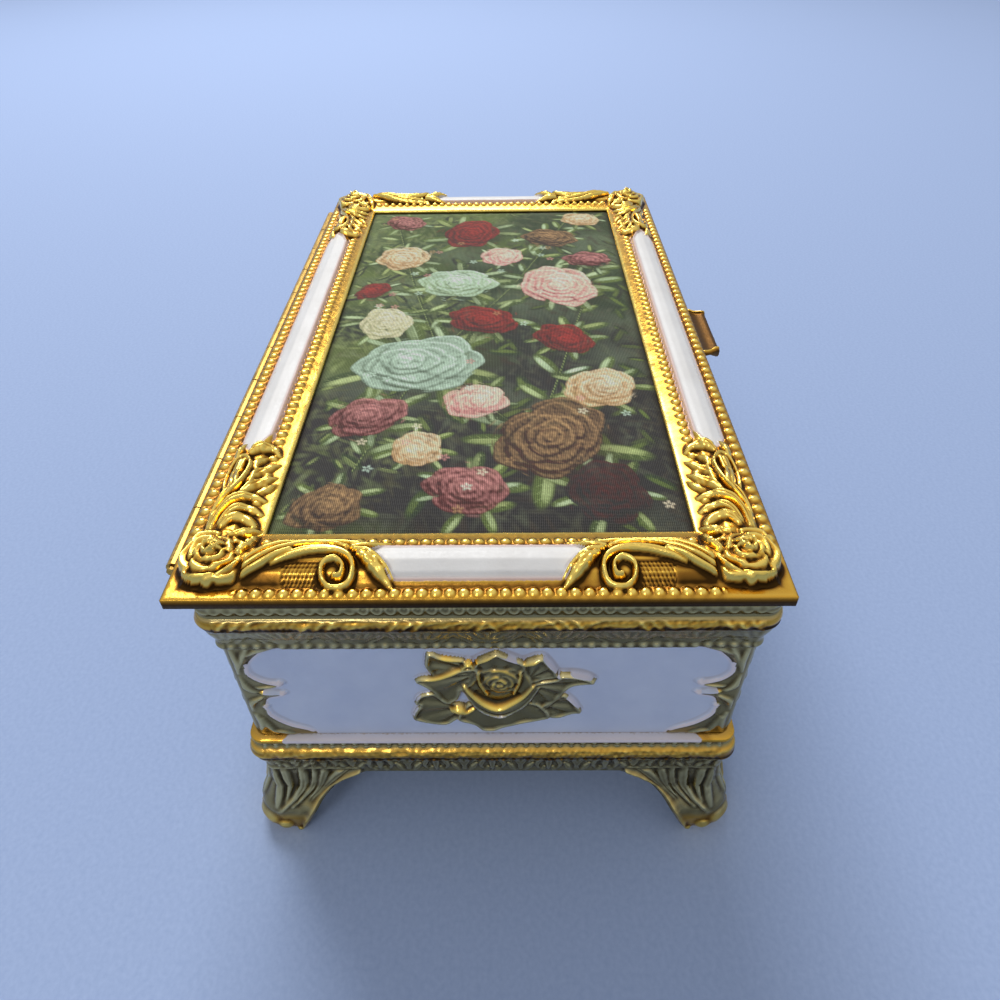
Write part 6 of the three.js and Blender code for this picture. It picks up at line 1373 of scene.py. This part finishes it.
# %%
def make_clasp():
    front = lid_shift - lid_y - clasp_reach
    edge = lid_shift - lid_y
    back = edge + 5.2
    profile = [(back, 81.12), (back, 82.1), (back - 0.15, 82.18), (edge + 0.2, 82.18), (edge - 0.5, 82.15)]
    profile += [(edge - 0.5 - 3.2 * s, 82.15 - 0.35 * math.sin(math.pi * s)) for s in np.linspace(0.1, 1, 10)]
    profile += [(front + 0.55, 82.28), (front + 0.2, 82.1), (front + 0.02, 81.7), (front + 0.05, 80.7),
                (front + 0.35, 80.25), (front + 0.8, 80.3), (front + 1.05, 80.8), (front + 1.5, 81.15),
                (front + 2.4, 81.2), (edge + 0.2, 81.15)]
    y, z = np.array(profile).T
    share = np.unique(np.concatenate([np.linspace(-1, 1, 61), np.linspace(-1, -0.9, 9), np.linspace(0.9, 1, 9)]))
    out = ease(edge - y, 0, clasp_reach)
    half = clasp_half - 1.6 * out
    x = share[None, :] * half[:, None]
    lip = 0.62 * np.exp(-((np.abs(x) - (half[:, None] - 0.75)) / 0.42)**2)
    upper = (z > 81.5) & (y < edge - 0.1)
    height = z[:, None] + np.where(upper[:, None], lip * ease(edge - y, 0.1, 0.8)[:, None], 0)
    height = height - np.where(upper[:, None], 0.12 * (1 - share[None, :]**2), 0)
    depth = np.broadcast_to(y[:, None], x.shape)
    points = np.stack([x, depth, height], -1)
    rows, columns = x.shape
    faces = grid_faces(rows, columns, True, False)
    index = np.arange(rows * columns).reshape(rows, columns)
    first, last = index[:, 0], index[:, -1]
    half_rows = rows // 2
    caps = []
    for ring, flip in ((first, False), (last, True)):
        for i in range(half_rows - 1):
            quad = [ring[i], ring[i + 1], ring[rows - 2 - i], ring[rows - 1 - i]]
            caps.append(quad[::-1] if flip else quad)
    # the clasp is painted darker brown all over, as painted shade, and its raised lips lighter, as a painted
    # highlight
    patina_and_shade = np.clip(np.where(upper[:, None], 0.62 - lip * 1.5, 0.4), -1, 1)
    return make_mesh("stamped_clasp", points.reshape(-1, 3), np.vstack([faces, np.array(caps)]), {"patina_and_shade": patina_and_shade})


clasp = make_clasp()
clasp.data.materials.append(gilt_plain)
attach(clasp, "lid")
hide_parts("lid_clasp")

# %% [markdown]
# ## Finishes for the pieces that keep their solids
#
# Turned, stamped and cast metal each show their making: fine lines round a turned part, a grain on a
# casting, tarnish on old brass. Here each gets a fine grain and patches of tarnish. The edges are softened
# in the shading, as a tumbled part's are.

# %%
def worked_metal(name, low_code, high_code, rough, grain_mm, bump, tarnish_code, edge_mm=0.12):
    material, tree, shader = new_material(name)
    grain = place_noise(tree, grain_mm, 4.0)
    patches = place_noise(tree, grain_mm * 12)
    tone = ramp(tree, grain, [(0.3, low_code), (0.7, high_code)])
    tone = blend_colour(tree, scale_value(tree, patches, 0.45, 0.75, 0, 0.6), tone, colour(tarnish_code))
    tree.links.new(tone, shader.inputs["Base Color"])
    shader.inputs["Metallic"].default_value = 1.0
    tree.links.new(scale_value(tree, grain, 0.3, 0.7, rough - 0.07, rough + 0.1), shader.inputs["Roughness"])
    soft_edge = node(tree, "Bevel", {"samples": 4}, Radius=edge_mm * MM)
    rise = node(tree, "Bump", Strength=0.4, Distance=bump * MM, Height=grain, Normal=soft_edge.outputs[0])
    tree.links.new(rise.outputs[0], shader.inputs["Normal"])
    return material


rolled_brass = worked_metal("tarnished_rolled_brass", "#A8823A", "#D9B25C", 0.34, 0.5, 0.02, "#6E5226")
turned_brass = worked_metal("turned_brass", "#B98F3E", "#E0BC66", 0.26, 0.3, 0.01, "#9A7434")
blued_steel = worked_metal("tempered_spring_steel", "#8C8F93", "#C2C5C9", 0.24, 0.4, 0.01, "#6F7277")
screw_steel = worked_metal("zinc_plated_screw_steel", "#A3A5A6", "#CFD0D0", 0.3, 0.3, 0.01, "#8A8880")
die_cast = worked_metal("die_cast_zinc", "#7F8082", "#A3A4A5", 0.46, 0.7, 0.05, "#6A6B6C", 0.25)
gilt_sheet = worked_metal("gilt_tinplate_sheet", "#9A7A34", "#C8A452", 0.42, 0.9, 0.03, "#6B5326")


def card(name):
    material, tree, shader = new_material(name)
    fibre = place_noise(tree, 0.8, 5.0, 0.7)
    tone = ramp(tree, fibre, [(0.25, "#8F7A58"), (0.75, "#B9A37C")])
    tree.links.new(tone, shader.inputs["Base Color"])
    tree.links.new(scale_value(tree, fibre, 0.3, 0.7, 0.85, 0.98), shader.inputs["Roughness"])
    bump = node(tree, "Bump", Strength=0.3, Distance=0.00008, Height=fibre)
    tree.links.new(bump.outputs[0], shader.inputs["Normal"])
    return material


finishes = {
    card("grey_pasteboard"): ["picture_board"],
    flock: ["jewel_tray"],
    gilt_sheet: ["bottom_cover"],
    rolled_brass: ["hinge_lid_leaf", "hinge_body_leaf"]
    + [f"hinge_{part}_screw_{i}" for part in ("lid", "body") for i in (1, 2, 3)]
    + ["clasp_rivet_1", "clasp_rivet_2", "hinge_pin"],
    turned_brass: ["drive_gear", "winding_key", "pinned_cylinder", "cylinder_wheel", "worm_wheel", "fan"],
    blued_steel: ["mainspring", "spring_arbor", "cylinder_shaft", "comb", "governor_shaft", "worm",
                  "stop_rod", "stop_spring"],
    screw_steel: [f"cover_screw_{i}" for i in (1, 2, 3, 4)] + [f"comb_screw_{i}" for i in (1, 2)]
    + [f"bracket_screw_{i}" for i in (1, 2)] + [f"movement_screw_{i}" for i in (1, 2, 3)],
    die_cast: ["bedplate", "spring_housing", "cylinder_bracket", "governor_frame"],
}
for material, names in finishes.items():
    for name in names:
        for slot in bpy.data.objects[name].material_slots:
            slot.link = "OBJECT"
            slot.material = material
print("finishes on", sum(map(len, finishes.values())), "nodes")

# %% [markdown]
# ## Floor, light and camera
#
# The box was photographed on a blue cloth, and its undersides mirror that blue. The floor here is a
# plain pale blue-grey. Two soft lamps and a plain world give an even light with enough contrast to
# model the gilding.

# %%
def looked_at(tree):
    """1 for the camera's own view and for what metal and glass show, 0 for light."""
    path = node(tree, "LightPath")
    shown = node(tree, "Math", {"operation": "MAXIMUM"}, i0=path.outputs["Is Camera Ray"],
                 i1=path.outputs["Is Glossy Ray"]).outputs[0]
    return node(tree, "Math", {"operation": "MAXIMUM"}, i0=shown,
                i1=path.outputs["Is Transmission Ray"]).outputs[0]


def make_floor():
    x, y = np.meshgrid(np.linspace(-6000, 6000, 13), np.linspace(-6000, 6000, 13))
    points = np.stack([x, y, np.zeros(x.shape)], -1).reshape(-1, 3)
    floor = make_mesh("floor", points, grid_faces(13, 13, False, False))
    material, tree, shader = new_material("pale_blue_grey_paper")
    weave = place_noise(tree, 1.2, 4.0)
    tree.links.new(ramp(tree, weave, [(0.3, "#A2B7E0"), (0.7, "#ADC1E7")]), shader.inputs["Base Color"])
    shader.inputs["Roughness"].default_value = 0.9
    # far from the object the floor passes into the backdrop, for the camera and in mirrors only
    away = node(tree, "VectorMath", {"operation": "LENGTH"}, i0=node(tree, "TexCoord").outputs["Object"])
    far = scale_value(tree, away.outputs["Value"], 1.3, 4.5, 0, 1)
    shown = node(tree, "Math", {"operation": "MULTIPLY"}, i0=far, i1=looked_at(tree)).outputs[0]
    backdrop = node(tree, "Emission", Color=colour("#B4BFD3"), Strength=0.9)
    joined = node(tree, "MixShader", i0=shown, i1=shader.outputs[0], i2=backdrop.outputs[0])
    tree.links.new(joined.outputs[0], tree.nodes["Material Output"].inputs[0])
    floor.data.materials.append(material)


def soft_lamp(name, place, aim, size, power, tint="#FFFFFF"):
    light = bpy.data.lights.new(name, "AREA")
    light.shape = "RECTANGLE"
    light.size, light.size_y = size
    light.energy = power
    light.color = colour(tint)[:3]
    lamp = bpy.data.objects.new(name, light)
    towards = np.array(aim) - np.array(place)
    lamp.location = place
    lamp.rotation_euler = Vector(towards).to_track_quat("-Z", "Y").to_euler()
    bpy.context.scene.collection.objects.link(lamp)


def make_world():
    world = bpy.data.worlds.new("studio")
    world.use_nodes = True
    tree = world.node_tree
    tree.nodes.clear()
    shown = looked_at(tree)
    soft = node(tree, "Background", Color=colour("#F2F4F8"), Strength=0.38)
    up = node(tree, "SeparateXYZ", i0=node(tree, "TexCoord").outputs["Generated"]).outputs[2]
    sky = ramp(tree, scale_value(tree, up, -0.1, 1, 0, 1), [(0.0, "#B4BFD3"), (0.3, "#C3CCDB"), (0.62, "#E2E6EE"), (1.0, "#F4F6FA")])
    seen = node(tree, "Background", Color=sky, Strength=0.9)
    both = node(tree, "MixShader", i0=shown, i1=soft.outputs[0], i2=seen.outputs[0])
    tree.links.new(both.outputs[0], node(tree, "OutputWorld").inputs[0])
    bpy.context.scene.world = world


def make_camera():
    """The photograph's camera, found from the straight edges of the box."""
    data = bpy.data.cameras.new("camera")
    data.lens = 27.04
    data.sensor_width = 36
    data.clip_start, data.clip_end = 0.005, 20
    camera = bpy.data.objects.new("camera", data)
    pitch, yaw, roll = math.radians(41.6), math.radians(-0.8), math.radians(0.9)
    # to the right and away from the viewer are -Y and +X of the box
    forward = np.array([math.cos(yaw) * math.cos(pitch), -math.sin(yaw) * math.cos(pitch), -math.sin(pitch)])
    right = np.array([-math.sin(yaw), -math.cos(yaw), 0.0])
    down = np.cross(forward, right)
    across = math.cos(roll) * right + math.sin(roll) * down
    below = -math.sin(roll) * right + math.cos(roll) * down
    matrix = np.eye(4)
    matrix[:3, 0], matrix[:3, 1], matrix[:3, 2] = across, -below, -forward
    matrix[:3, 3] = [-0.1802, -0.0039, 0.1820]
    camera.matrix_world = Matrix(matrix.tolist())
    bpy.context.scene.collection.objects.link(camera)
    bpy.context.scene.camera = camera


make_floor()
make_world()
make_camera()
soft_lamp("window", (1.1, 0.35, 1.35), (0, 0, 0.05), (0.9, 0.7), 20.5)
soft_lamp("fill", (-1.2, 0.5, 1.3), (0, 0, 0.04), (0.5, 0.5), 3.8)
bpy.context.scene.view_settings.view_transform = "Standard"
